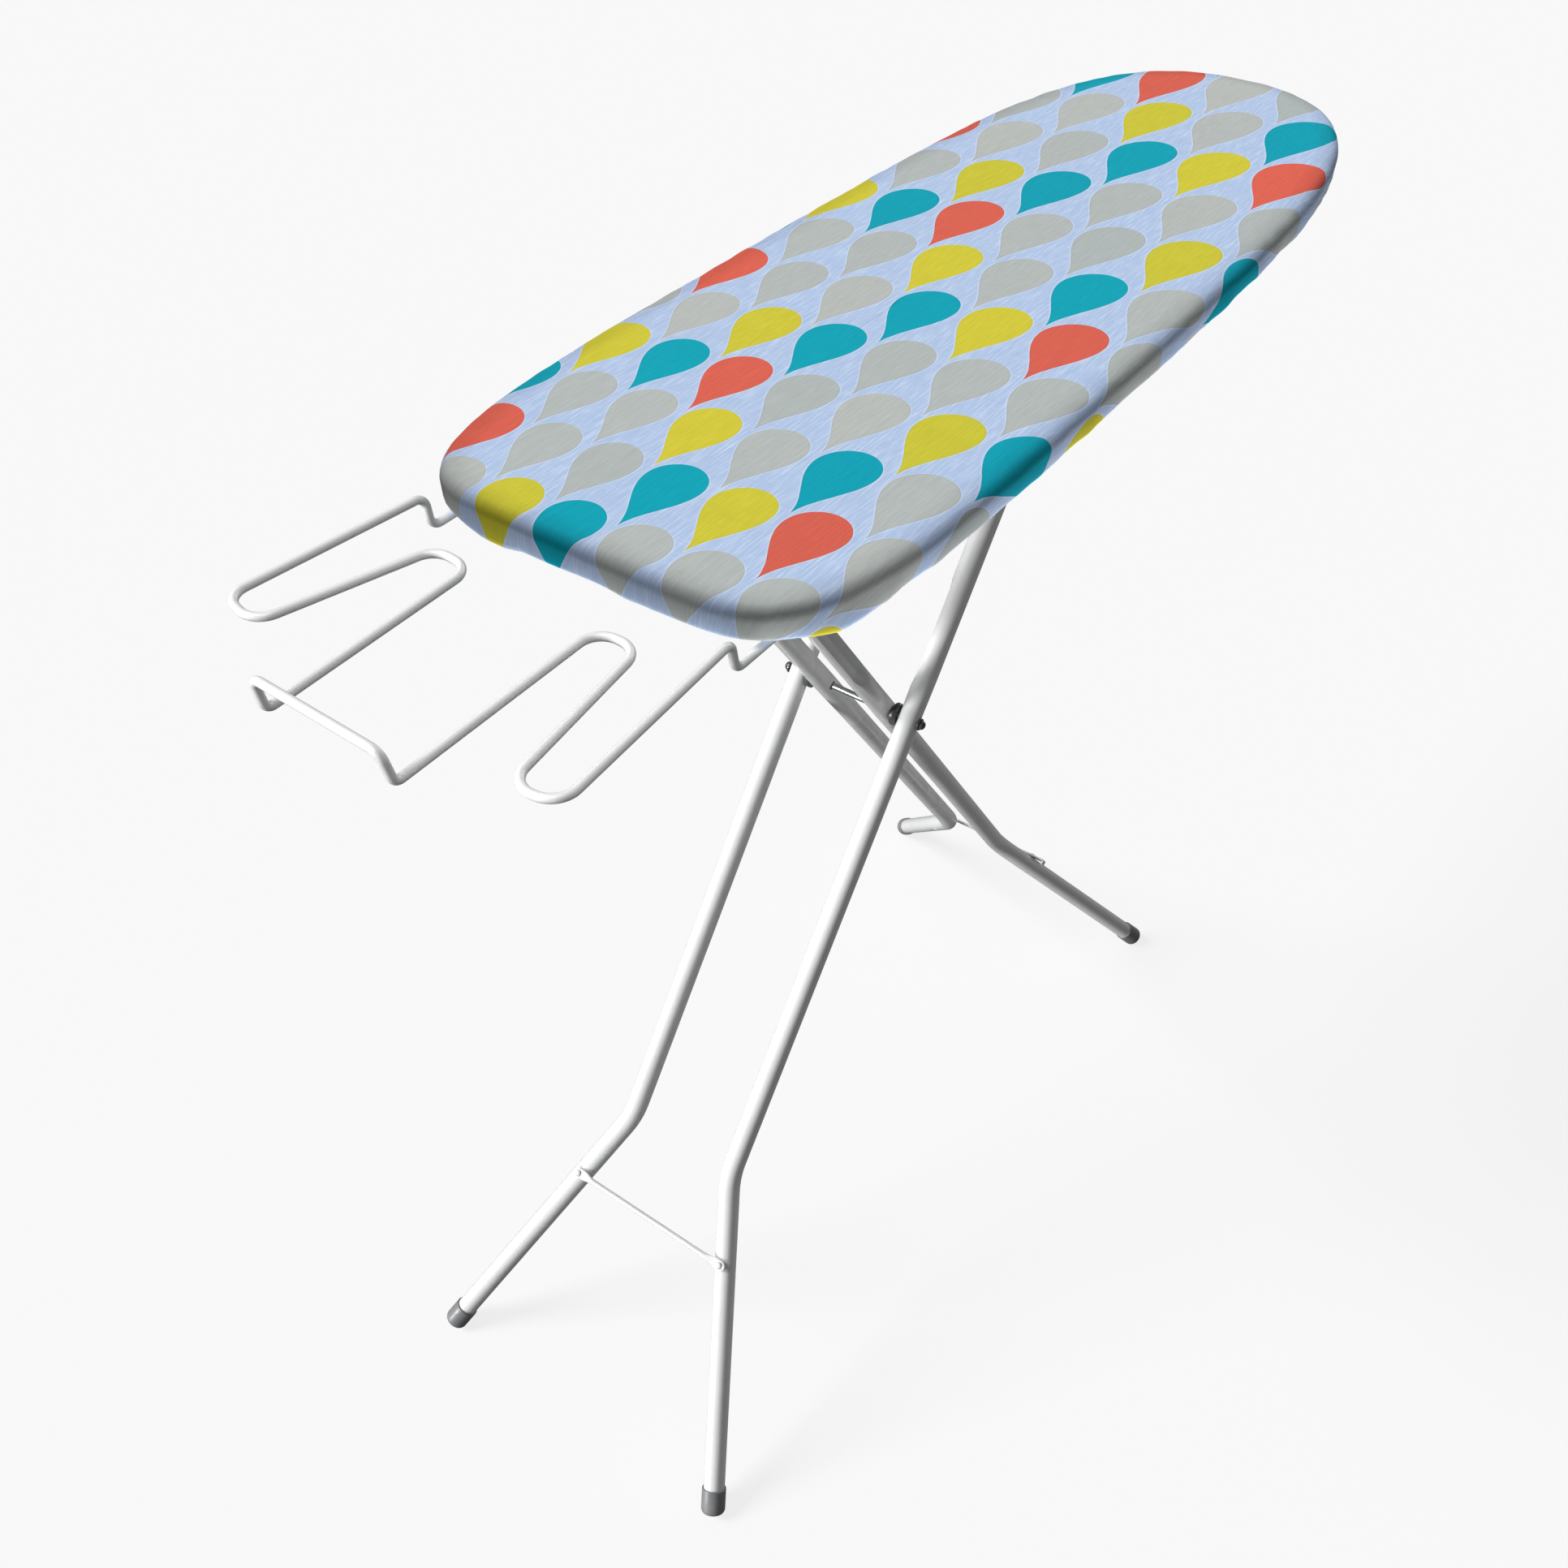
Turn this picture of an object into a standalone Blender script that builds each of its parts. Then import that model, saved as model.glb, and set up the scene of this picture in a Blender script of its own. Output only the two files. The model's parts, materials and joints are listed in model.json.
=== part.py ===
"""Ironing board with crossed tube legs, a wire iron rest and a height lock on a rod.

The board lies along X with its nose at +X and the iron rest at -X. Z is up and the feet stand at z = 0.
The inner frame hinges under the heel. The outer frame's top bar slides along the rails as the legs fold.
Every length is in metres.
"""

from math import acos, ceil, cos, pi, radians, sin

import bmesh
import bpy
from mathutils import Vector

# Board
PIVOT_X = -0.077
HEEL_X = PIVOT_X - 0.338
NOSE_X = PIVOT_X + 0.709
HALF_WIDTH = 0.1755
HEEL_CURVE = 0.532
HEEL_POWER = 6.22
NOSE_START_X = PIVOT_X - 0.0506
NOSE_POWER_X = 5.04
NOSE_POWER_Y = 2.447
OUTLINE_STEPS = 12
TOP_Z = 0.970
SKIRT_Z = 0.947
COVER_WALL = 0.0012
HEM_WIDTH = 0.026
PAD_Z = (0.9634, 0.9683)
PLATE_Z = (0.9624, 0.9630)
RIM_INSET = 0.0052
RIM_Z = (0.9500, 0.9617)
RIM_WALL = 0.0012
UNDER_PLATE_Z = 0.9618
VENT_COLUMNS = 7
VENT_PITCH_X = 0.13
VENT_PITCH_Y = 0.11

# Leg frames: both lie at the same angle and cross at the pivot
LEG_ANGLE = radians(54.2)
PIVOT_Z = 0.628
PIVOT_TO_TOP = 0.3785
PIVOT_TO_FOOT = 0.761
TUBE_RADIUS = 0.010
TUBE_WALL = 0.001
TUBE_PAST_HINGE = 0.008
BEND_RADIUS = 0.09
OUTER_Y = 0.058
OUTER_BEND_Z = 0.253
OUTER_FOOT_Y = 0.165
INNER_Y = 0.032
INNER_BEND_Z = 0.219
INNER_FOOT_Y = 0.171
FOOT_RADIUS = 0.0115
FOOT_UP_TUBE = 0.017
FOOT_SOLE = 0.0075

HINGE_Z = PIVOT_Z + PIVOT_TO_TOP * sin(LEG_ANGLE)
HINGE_X = PIVOT_X - PIVOT_TO_TOP * cos(LEG_ANGLE)
SLIDE_X = PIVOT_X + PIVOT_TO_TOP * cos(LEG_ANGLE)
HINGE = Vector((HINGE_X, 0, HINGE_Z))
PIVOT = Vector((PIVOT_X, 0, PIVOT_Z))
SLIDE = Vector((SLIDE_X, 0, HINGE_Z))

# Pins, bars and their running gap
GAP = 0.0003
PIN_RADIUS = 0.004
AXLE_RADIUS = 0.003
SPACER_RADIUS = 0.0103
SPACER_WIDTH = 0.0054
CAP_RADIUS = 0.0056
CAP_HEIGHT = 0.0058
CAP_HOLLOW = 0.0042
BAR_RADIUS = 0.005
ROD_RADIUS = 0.004
ROD_Z = HINGE_Z + 0.016
RIVET_RADIUS = 0.002
WIRE_RADIUS = 0.003

# Rails and stringers
STRINGER_Y = (0.0690, 0.0830)
STRINGER_Z = (0.9468, UNDER_PLATE_Z)
STRINGER_X = (PIVOT_X - 0.300, PIVOT_X + 0.605)
RAIL_Y = (0.0690, 0.0830)
RAIL_X = (PIVOT_X + 0.203, PIVOT_X + 0.556)
GLIDE_RADIUS = 0.0095
GLIDE_Y = (0.0697, 0.0797)
SHEET = 0.0012
CROSS_HEEL_X = PIVOT_X + 0.168
CROSS_NOSE_X = PIVOT_X + 0.588

# Colours
WHITE = (0.83, 0.84, 0.85)
STEEL = (0.55, 0.56, 0.58)
BLACK = (0.03, 0.03, 0.032)
GREY = (0.27, 0.28, 0.29)
COTTON = (0.50, 0.58, 0.79)
FELT = (0.62, 0.61, 0.58)

for old in list(bpy.data.objects):
    bpy.data.objects.remove(old)

BOARD = bpy.data.collections.new("ironing_board")
CUTTERS = bpy.data.collections.new("cutters")
for group in (BOARD, CUTTERS):
    bpy.context.scene.collection.children.link(group)


def finish(name, color, roughness, metallic=0.0):
    """A plain material."""
    material = bpy.data.materials.new(name)
    material.use_nodes = True
    shader = material.node_tree.nodes["Principled BSDF"]
    shader.inputs["Base Color"].default_value = (*color, 1)
    shader.inputs["Roughness"].default_value = roughness
    shader.inputs["Metallic"].default_value = metallic
    return material


PAINT = finish("white_paint", WHITE, 0.25)
ZINC = finish("zinc_steel", STEEL, 0.35, 1.0)
NYLON = finish("black_nylon", BLACK, 0.45)
FOOT = finish("grey_plastic", GREY, 0.5)
FABRIC = finish("printed_cotton", COTTON, 0.85)
PADDING = finish("felt", FELT, 0.95)
ELASTIC = finish("elastic", WHITE, 0.8)


def place(obj, material=None):
    """Put a piece in the board's collection, or a cutter among the cutters."""
    for group in obj.users_collection:
        group.objects.unlink(obj)
    if material is None:
        CUTTERS.objects.link(obj)
        obj.hide_render = True
        obj.display_type = "WIRE"
        return obj
    BOARD.objects.link(obj)
    obj.data.materials.clear()
    obj.data.materials.append(material)
    return obj


def smooth(obj):
    obj.data.shade_smooth()
    obj.data.set_sharp_from_angle(angle=radians(40))


def to_mesh(curve):
    """Turn a curve object into a mesh object of the same name and place, with its caps welded."""
    graph = bpy.context.evaluated_depsgraph_get()
    mesh = bpy.data.meshes.new_from_object(curve.evaluated_get(graph))
    name, matrix = curve.name, curve.matrix_world.copy()
    bpy.data.objects.remove(curve)
    obj = bpy.data.objects.new(name, mesh)
    bpy.context.scene.collection.objects.link(obj)
    obj.matrix_world = matrix
    weld(mesh)
    return obj


def weld(mesh):
    """Join the points of a mesh that lie on each other."""
    cage = bmesh.new()
    cage.from_mesh(mesh)
    bmesh.ops.remove_doubles(cage, verts=cage.verts, dist=0.00001)
    cage.to_mesh(mesh)
    cage.free()


def rounded(points, radius, step=radians(14)):
    """The points of a route whose corners are arcs of a radius."""
    points = [Vector(p) for p in points]
    route = [points[0]]
    for before, corner, after in zip(points, points[1:], points[2:]):
        back = (before - corner).normalized()
        on = (after - corner).normalized()
        half = acos(max(-1.0, min(1.0, back.dot(on)))) / 2
        centre = corner + (back + on).normalized() * radius / sin(half)
        start = corner + back * radius * cos(half) / sin(half) - centre
        end = corner + on * radius * cos(half) / sin(half) - centre
        turn = pi - 2 * half
        count = max(2, ceil(turn / step))
        for i in range(count + 1):
            part = i / count
            arm = start * sin((1 - part) * turn) + end * sin(part * turn)
            route.append(centre + arm / sin(turn))
    route.append(points[-1])
    return route


def tube(name, route, radius, material, sides=16, closed=False, wall=None):
    """A round bar along a route, or a pipe with open ends when it has a wall."""
    curve = bpy.data.curves.new(name, "CURVE")
    curve.dimensions = "3D"
    spline = curve.splines.new("POLY")
    spline.points.add(len(route) - 1)
    for point, at in zip(spline.points, route):
        point.co = (*at, 1)
    spline.use_cyclic_u = closed
    curve.bevel_depth = radius
    curve.bevel_resolution = (sides - 4) // 2
    curve.use_fill_caps = wall is None
    obj = bpy.data.objects.new(name, curve)
    bpy.context.scene.collection.objects.link(obj)
    obj = place(to_mesh(obj), material)
    if wall:
        shell = obj.modifiers.new("wall", "SOLIDIFY")
        shell.thickness = wall
        shell.offset = -1
        shell.use_even_offset = True
    smooth(obj)
    return obj


def cylinder(name, start, end, radius, material=None, sides=20):
    """A round bar between two points."""
    start, end = Vector(start), Vector(end)
    bpy.ops.mesh.primitive_cylinder_add(vertices=sides, radius=radius, depth=(end - start).length)
    obj = bpy.context.object
    obj.name = name
    obj.location = (start + end) / 2
    obj.rotation_mode = "QUATERNION"
    obj.rotation_quaternion = (end - start).to_track_quat("Z", "Y")
    place(obj, material)
    smooth(obj)
    return obj


def box(name, low, high, material=None, round_edge=0.0):
    """A block between two corners, with its edges rounded where asked."""
    low, high = Vector(low), Vector(high)
    bpy.ops.mesh.primitive_cube_add(size=1)
    obj = bpy.context.object
    obj.name = name
    obj.location = (low + high) / 2
    for vertex in obj.data.vertices:
        for i in range(3):
            vertex.co[i] *= high[i] - low[i]
    place(obj, material)
    if round_edge:
        bevel(obj, round_edge)
    return obj


def bevel(obj, width, segments=2):
    edge = obj.modifiers.new("edges", "BEVEL")
    edge.width = width
    edge.segments = segments
    edge.limit_method = "ANGLE"
    edge.angle_limit = radians(40)


def section(name, corners, low, high, axis, material, fill="BOTH"):
    """A flat outline drawn out along X, Y or Z. Its corners are (y, z), (x, z) or (x, y)."""
    curve = bpy.data.curves.new(name, "CURVE")
    curve.dimensions = "2D"
    spline = curve.splines.new("POLY")
    spline.points.add(len(corners) - 1)
    for point, (u, v) in zip(spline.points, corners):
        point.co = (u, v, 0, 1)
    spline.use_cyclic_u = True
    curve.fill_mode = fill
    curve.extrude = (high - low) / 2
    obj = bpy.data.objects.new(name, curve)
    bpy.context.scene.collection.objects.link(obj)
    middle = (low + high) / 2
    turn = {"X": (pi / 2, 0, pi / 2), "Y": (pi / 2, 0, 0), "Z": (0, 0, 0)}
    at = {"X": (middle, 0, 0), "Y": (0, middle, 0), "Z": (0, 0, middle)}
    obj.rotation_euler = turn[axis]
    obj.location = at[axis]
    bpy.context.view_layer.update()
    return place(to_mesh(obj), material)


def turned(name, profile, origin, direction, material, steps=16):
    """A turned piece: (radius, height) from top to bottom about an axis through the origin.

    A profile that starts and ends on the axis is a solid, and any other is closed into a ring.
    """
    mesh = bpy.data.meshes.new(name)
    points = [(radius, 0, height) for radius, height in profile]
    edges = [(i, i + 1) for i in range(len(points) - 1)]
    if profile[0][0] > 0:
        edges.append((len(points) - 1, 0))
    mesh.from_pydata(points, edges, [])
    obj = bpy.data.objects.new(name, mesh)
    obj.location = origin
    obj.rotation_mode = "QUATERNION"
    obj.rotation_quaternion = Vector(direction).to_track_quat("Z", "Y")
    place(obj, material)
    screw = obj.modifiers.new("turn", "SCREW")
    screw.axis = "Z"
    screw.steps = steps
    screw.render_steps = steps
    screw.use_merge_vertices = True
    screw.merge_threshold = 0.00005
    screw.use_smooth_shade = True
    return obj


def cut(obj, *cutters):
    """Cut pieces out of an object."""
    for cutter in cutters:
        hole = obj.modifiers.new("cut", "BOOLEAN")
        hole.operation = "DIFFERENCE"
        hole.solver = "EXACT"
        hole.object = cutter
    return obj


def join(obj, other):
    """Join a helper shape to an object."""
    union = obj.modifiers.new("join", "BOOLEAN")
    union.operation = "UNION"
    union.solver = "EXACT"
    union.object = other
    return obj


def outline(inset=0.0, steps=OUTLINE_STEPS):
    """The board's edge, seen from above, moved inwards by an inset: a blunt heel and a round nose."""
    half = []
    for i in range(steps):
        turn = i / steps * pi / 2
        along = HEEL_X + HEEL_CURVE * (1 - cos(turn) ** (2 / HEEL_POWER))
        half.append((along, HALF_WIDTH * sin(turn) ** (2 / HEEL_POWER)))
    half.append(((PIVOT_X + HEEL_X + HEEL_CURVE) / 2, HALF_WIDTH))
    for i in range(steps - 1, -1, -1):
        turn = i / steps * pi / 2
        along = NOSE_START_X + (NOSE_X - NOSE_START_X) * cos(turn) ** (2 / NOSE_POWER_X)
        half.append((along, HALF_WIDTH * sin(turn) ** (2 / NOSE_POWER_Y)))
    edge = [Vector(p) for p in half] + [Vector((x, -y)) for x, y in half[-2:0:-1]]
    moved = []
    for i, point in enumerate(edge):
        run = (edge[(i + 1) % len(edge)] - edge[i - 1]).normalized()
        moved.append(point + Vector((run.y, -run.x)) * inset)
    return moved


def slab(name, inset, low, high, material):
    """A flat board-shaped layer."""
    return section(name, outline(inset), low, high, "Z", material)


def cover():
    """A pan of cloth: flat top, round edge, skirt and a hem turned in under the rim."""
    rings = [(0.0090, TOP_Z), (0.0045, TOP_Z - 0.0008), (0.0015, TOP_Z - 0.0032), (0.0, TOP_Z - 0.0075)]
    rings += [(0.0, SKIRT_Z + 0.0050), (0.0015, SKIRT_Z + 0.0018), (0.0055, SKIRT_Z), (HEM_WIDTH, SKIRT_Z)]
    points = []
    for inset, height in rings:
        points += [(x, y, height) for x, y in outline(inset)]
    count = len(points) // len(rings)
    faces = [list(range(count))[::-1]]
    for ring in range(len(rings) - 1):
        for i in range(count):
            j = (i + 1) % count
            a, b = ring * count, (ring + 1) * count
            faces.append([a + i, a + j, b + j, b + i])
    mesh = bpy.data.meshes.new("fabric_cover")
    mesh.from_pydata(points, [], faces)
    obj = place(bpy.data.objects.new("fabric_cover", mesh), FABRIC)
    cloth = obj.modifiers.new("cloth", "SOLIDIFY")
    cloth.thickness = COVER_WALL
    cloth.offset = -1
    cloth.use_even_offset = True
    smooth(obj)


def layers():
    """What lies under the cover: elastic, felt, steel top and the band round its edge."""
    hem = [(x, y, SKIRT_Z + 0.0038) for x, y in outline(HEM_WIDTH - 0.003)]
    tube("hem_elastic", hem, 0.002, ELASTIC, sides=6, closed=True)
    felt = slab("felt_pad", 0.0075, *PAD_Z, PADDING)
    bevel(felt, 0.0022)
    plate = slab("top_plate", 0.0065, *PLATE_Z, ZINC)
    for row in (-1, 0, 1):
        for column in range(VENT_COLUMNS):
            at = (HEEL_X + 0.12 + VENT_PITCH_X * column, VENT_PITCH_Y * row)
            cut(plate, cylinder("vent", (*at, PLATE_Z[0] - 0.01), (*at, PLATE_Z[1] + 0.01), 0.014, sides=8))
    rim = section("rim_band", outline(RIM_INSET), *RIM_Z, "Z", PAINT, fill="NONE")
    wall = rim.modifiers.new("wall", "SOLIDIFY")
    wall.thickness = RIM_WALL
    wall.offset = 0
    wall.use_even_offset = True


def stringers_and_rails():
    """Long channels under the top, with a C rail under each for the sliding bar."""
    low, high = STRINGER_Z
    near, far = STRINGER_Y
    for side, name in ((1, "left"), (-1, "right")):
        channel = [(near, low), (near + SHEET, low), (near + SHEET, high - SHEET), (far - SHEET, high - SHEET)]
        channel += [(far - SHEET, low), (far, low), (far, high), (near, high)]
        channel = [(side * y, z) for y, z in channel]
        section("stringer_" + name, channel, *STRINGER_X, "X", PAINT)
        top = low - GAP
        bottom = top - 2 * SHEET - 2 * GLIDE_RADIUS - 0.0016
        rail = [(RAIL_Y[0], top), (RAIL_Y[1], top), (RAIL_Y[1], bottom), (RAIL_Y[0], bottom)]
        rail += [(RAIL_Y[0], bottom + SHEET), (RAIL_Y[1] - SHEET, bottom + SHEET)]
        rail += [(RAIL_Y[1] - SHEET, top - SHEET), (RAIL_Y[0], top - SHEET)]
        rail = [(side * y, z) for y, z in rail]
        section("track_rail_" + name, rail, *RAIL_X, "X", ZINC)


def hinge_parts():
    """The fixed hinge of the inner frame: bracket, pin and the sleeve between the tubes."""
    ear = 0.0465
    near, far = HINGE_X - 0.018, HINGE_X + 0.018
    wide = STRINGER_Y[0] - GAP
    bracket = box("hinge_bracket", (near, -wide, UNDER_PLATE_Z - SHEET), (far, wide, UNDER_PLATE_Z), PAINT)
    for inner, outer in ((SHEET - ear, -ear), (ear - SHEET, ear)):
        low, high = sorted((inner, outer))
        foot = (near + 0.004, low, HINGE_Z - 0.010)
        join(bracket, box("ear", foot, (far - 0.004, high, UNDER_PLATE_Z - SHEET / 2)))
    reach = Vector((0, 0.050, 0))
    bore = cylinder("hinge_bore", HINGE - reach * 1.4, HINGE + reach * 1.4, PIN_RADIUS + GAP)
    cut(bracket, bore)
    cylinder("hinge_pin", HINGE - reach, HINGE + reach, PIN_RADIUS, ZINC)
    half = INNER_Y - TUBE_RADIUS - GAP
    sleeve = [(0.0065, half), (0.0065, -half), (PIN_RADIUS + GAP, -half), (PIN_RADIUS + GAP, half)]
    turned("hinge_sleeve", sleeve, HINGE, (0, 1, 0), PAINT)
    return bore


def rod_parts():
    """The lock's rod and the two angles that hold it."""
    height = HINGE_Z + 0.009
    top = UNDER_PLATE_Z
    wide = STRINGER_Y[0] - GAP
    ends = (CROSS_HEEL_X - 0.005, CROSS_NOSE_X + 0.005)
    bore = cylinder("rod_bore", (ends[0] - 0.02, 0, ROD_Z), (ends[1] + 0.02, 0, ROD_Z), ROD_RADIUS + GAP)
    for name, at, way in (("cross_member_heel", CROSS_HEEL_X, -1), ("cross_member_nose", CROSS_NOSE_X, 1)):
        shape = [(at - way * 0.001, height), (at - way * 0.001, top), (at + way * 0.016, top)]
        shape += [(at + way * 0.016, top - 0.002), (at + way * 0.001, top - 0.002), (at + way * 0.001, height)]
        cut(section(name, shape, -wide, wide, "Y", PAINT), bore)
    cylinder("track_rod", (ends[0], 0, ROD_Z), (ends[1], 0, ROD_Z), ROD_RADIUS, ZINC)


def leg_point(side, low_y, bend_z, foot_y, way, z):
    """A point on a leg tube's centre line. way is 1 for feet at the nose and -1 for feet at the heel."""
    foot_z = PIVOT_Z - PIVOT_TO_FOOT * sin(LEG_ANGLE)
    y = low_y + (foot_y - low_y) * max(0.0, (bend_z - z) / (bend_z - foot_z))
    along = (PIVOT_Z - z) * cos(LEG_ANGLE) / sin(LEG_ANGLE)
    return Vector((PIVOT_X + way * along, side * y, z))


OUTER = (OUTER_Y, OUTER_BEND_Z, OUTER_FOOT_Y, -1)
INNER = (INNER_Y, INNER_BEND_Z, INNER_FOOT_Y, 1)


def leg(name, side, shape):
    """One leg tube from just past its top hinge to its foot, with a foot cap."""
    foot_z = PIVOT_Z - PIVOT_TO_FOOT * sin(LEG_ANGLE)
    top_z = HINGE_Z + TUBE_PAST_HINGE * sin(LEG_ANGLE)
    corners = [leg_point(side, *shape, z) for z in (top_z, shape[1], foot_z)]
    end = {1: "left", -1: "right"}[side]
    pipe = tube(name + "_tube_" + end, rounded(corners, BEND_RADIUS, radians(9)), TUBE_RADIUS, PAINT,
                wall=TUBE_WALL)
    down = (corners[2] - corners[1]).normalized()
    outer = FOOT_RADIUS
    inner = TUBE_RADIUS + GAP
    sole = -FOOT_SOLE
    profile = [(outer - 0.0006, FOOT_UP_TUBE), (outer, FOOT_UP_TUBE - 0.0008), (outer, sole + 0.002)]
    profile += [(outer - 0.0007, sole + 0.0006), (outer - 0.0025, sole), (0, sole), (0, -GAP)]
    profile += [(inner, -GAP), (inner, FOOT_UP_TUBE), (outer - 0.0006, FOOT_UP_TUBE)]
    cup = turned(name + "_foot_" + end, outside_in(profile), corners[2], -down, FOOT)
    cut(cup, box("floor", (-1, -1, -0.05), (1, 1, 0)))
    return pipe


def outside_in(profile):
    """A closed profile that starts at its axis, so that the turned piece has one skin."""
    start = profile.index((0, -GAP))
    body = profile[:-1]
    return body[start:] + body[:start]


def across(point, way, reach):
    """The two ends of a line square to a leg tube, in the frame's swing plane, at a point."""
    square = Vector((way * sin(LEG_ANGLE), 0, cos(LEG_ANGLE)))
    return point - square * reach, point + square * reach


def rivet(name, point, way, reach, material):
    """A rivet through a leg tube, with a domed head above and a flat one below."""
    under, over = across(point, way, 1.0)
    low = -TUBE_RADIUS - 0.0018
    profile = [(0, reach + 0.0022), (0.0022, reach + 0.0018), (0.0038, reach + GAP), (RIVET_RADIUS, reach + GAP)]
    profile += [(RIVET_RADIUS, low + 0.0012), (0.0038, low + 0.0012), (0.0034, low), (0, low)]
    return turned(name, profile, point, over - under, material, steps=12)


def outer_frame():
    """The wider frame: tubes, sliding bar with glides, brace rod, and the axle through both frames."""
    reach = Vector((0, GLIDE_Y[1] - GAP, 0))
    bar_bore = cylinder("bar_bore", SLIDE - reach * 1.2, SLIDE + reach * 1.2, BAR_RADIUS + GAP)
    axle = Vector((0, OUTER_Y + TUBE_RADIUS + CAP_HOLLOW, 0))
    axle_bore = cylinder("axle_bore", PIVOT - axle * 1.2, PIVOT + axle * 1.2, AXLE_RADIUS + GAP)
    brace_z = 0.190
    offset = TUBE_RADIUS + 0.0008
    ends = []
    for side, name in ((1, "left"), (-1, "right")):
        pipe = leg("outer", side, OUTER)
        point = leg_point(side, *OUTER, brace_z)
        bore = cylinder("rivet_bore", *across(point, -1, 0.05), RIVET_RADIUS + GAP, sides=12)
        cut(pipe, bar_bore, axle_bore, bore)
        rivet("brace_rivet_" + name, point, -1, offset + 0.0026, PAINT)
        ends.append((across(point, -1, offset + 0.0013)[1], bore))
    brace(*ends)
    cylinder("slide_bar", SLIDE - reach, SLIDE + reach, BAR_RADIUS, ZINC)
    bore = BAR_RADIUS + GAP
    for side, name in ((1, "left"), (-1, "right")):
        glide = [(GLIDE_RADIUS - 0.001, 0.010), (GLIDE_RADIUS, 0.009), (GLIDE_RADIUS, 0.001)]
        glide += [(GLIDE_RADIUS - 0.001, 0), (bore, 0), (bore, 0.010)]
        turned("slide_glide_" + name, glide, SLIDE + Vector((0, side * GLIDE_Y[0], 0)), (0, side, 0), NYLON)
        hole = AXLE_RADIUS + GAP
        disc = [(SPACER_RADIUS - 0.001, SPACER_WIDTH), (SPACER_RADIUS, SPACER_WIDTH - 0.001), (SPACER_RADIUS, 0.001)]
        disc += [(SPACER_RADIUS - 0.001, 0), (hole, 0), (hole, SPACER_WIDTH)]
        inside = PIVOT + Vector((0, side * (INNER_Y + TUBE_RADIUS + GAP), 0))
        turned("pivot_spacer_" + name, disc, inside, (0, side, 0), NYLON)
        cap = [(0, CAP_HEIGHT), (CAP_RADIUS * 0.45, CAP_HEIGHT - 0.0003), (CAP_RADIUS * 0.8, CAP_HEIGHT - 0.0016)]
        cap += [(CAP_RADIUS, CAP_HEIGHT - 0.004), (CAP_RADIUS, 0), (hole, 0), (hole, CAP_HOLLOW), (0, CAP_HOLLOW)]
        outside = PIVOT + Vector((0, side * (OUTER_Y + TUBE_RADIUS + GAP), 0))
        turned("pivot_cap_" + name, cap, outside, (0, side, 0), NYLON)
    cylinder("pivot_axle", PIVOT - axle, PIVOT + axle, AXLE_RADIUS, ZINC, sides=16)
    return axle_bore


def brace(left, right):
    """The outer frame's thin rod with its flattened ends."""
    (start, bore), (end, other_bore) = left, right
    inward = (end - start).normalized()
    rod = tube("outer_brace_rod", [start + inward * 0.004, end - inward * 0.004], 0.0026, PAINT, sides=12)
    for name, at in (("brace_end_left", start), ("brace_end_right", end)):
        low, high = across(at, -1, 0.0012)
        join(rod, cylinder(name, low, high, 0.0068, sides=16))
    cut(rod, bore, other_bore)


def inner_frame(hinge_bore, axle_bore):
    """The narrower frame with its brace strap."""
    strap_z = 0.175
    lift = TUBE_RADIUS + GAP
    thick = 0.002
    strap = None
    for side, name in ((1, "left"), (-1, "right")):
        pipe = leg("inner", side, INNER)
        point = leg_point(side, *INNER, strap_z)
        bore = cylinder("rivet_bore", *across(point, 1, 0.05), RIVET_RADIUS + GAP, sides=12)
        cut(pipe, hinge_bore, axle_bore, bore)
        rivet("strap_rivet_" + name, point, 1, lift + thick, PAINT)
        if strap is None:
            half = 0.0078
            reach = 0.0785
            corner = 0.004
            shape = [(half, corner - reach), (half, reach - corner), (half - corner, reach)]
            shape += [(corner - half, reach), (-half, reach - corner), (-half, corner - reach)]
            shape += [(corner - half, -reach), (half - corner, -reach)]
            strap = section("inner_brace_strap", shape, 0, thick, "Z", PAINT)
            middle = Vector((point.x, 0, point.z)) + Vector((sin(LEG_ANGLE), 0, cos(LEG_ANGLE))) * lift
            strap.rotation_euler = (0, LEG_ANGLE, 0)
            strap.location = middle + Vector((sin(LEG_ANGLE), 0, cos(LEG_ANGLE))) * thick / 2
        cut(strap, bore)


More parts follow.
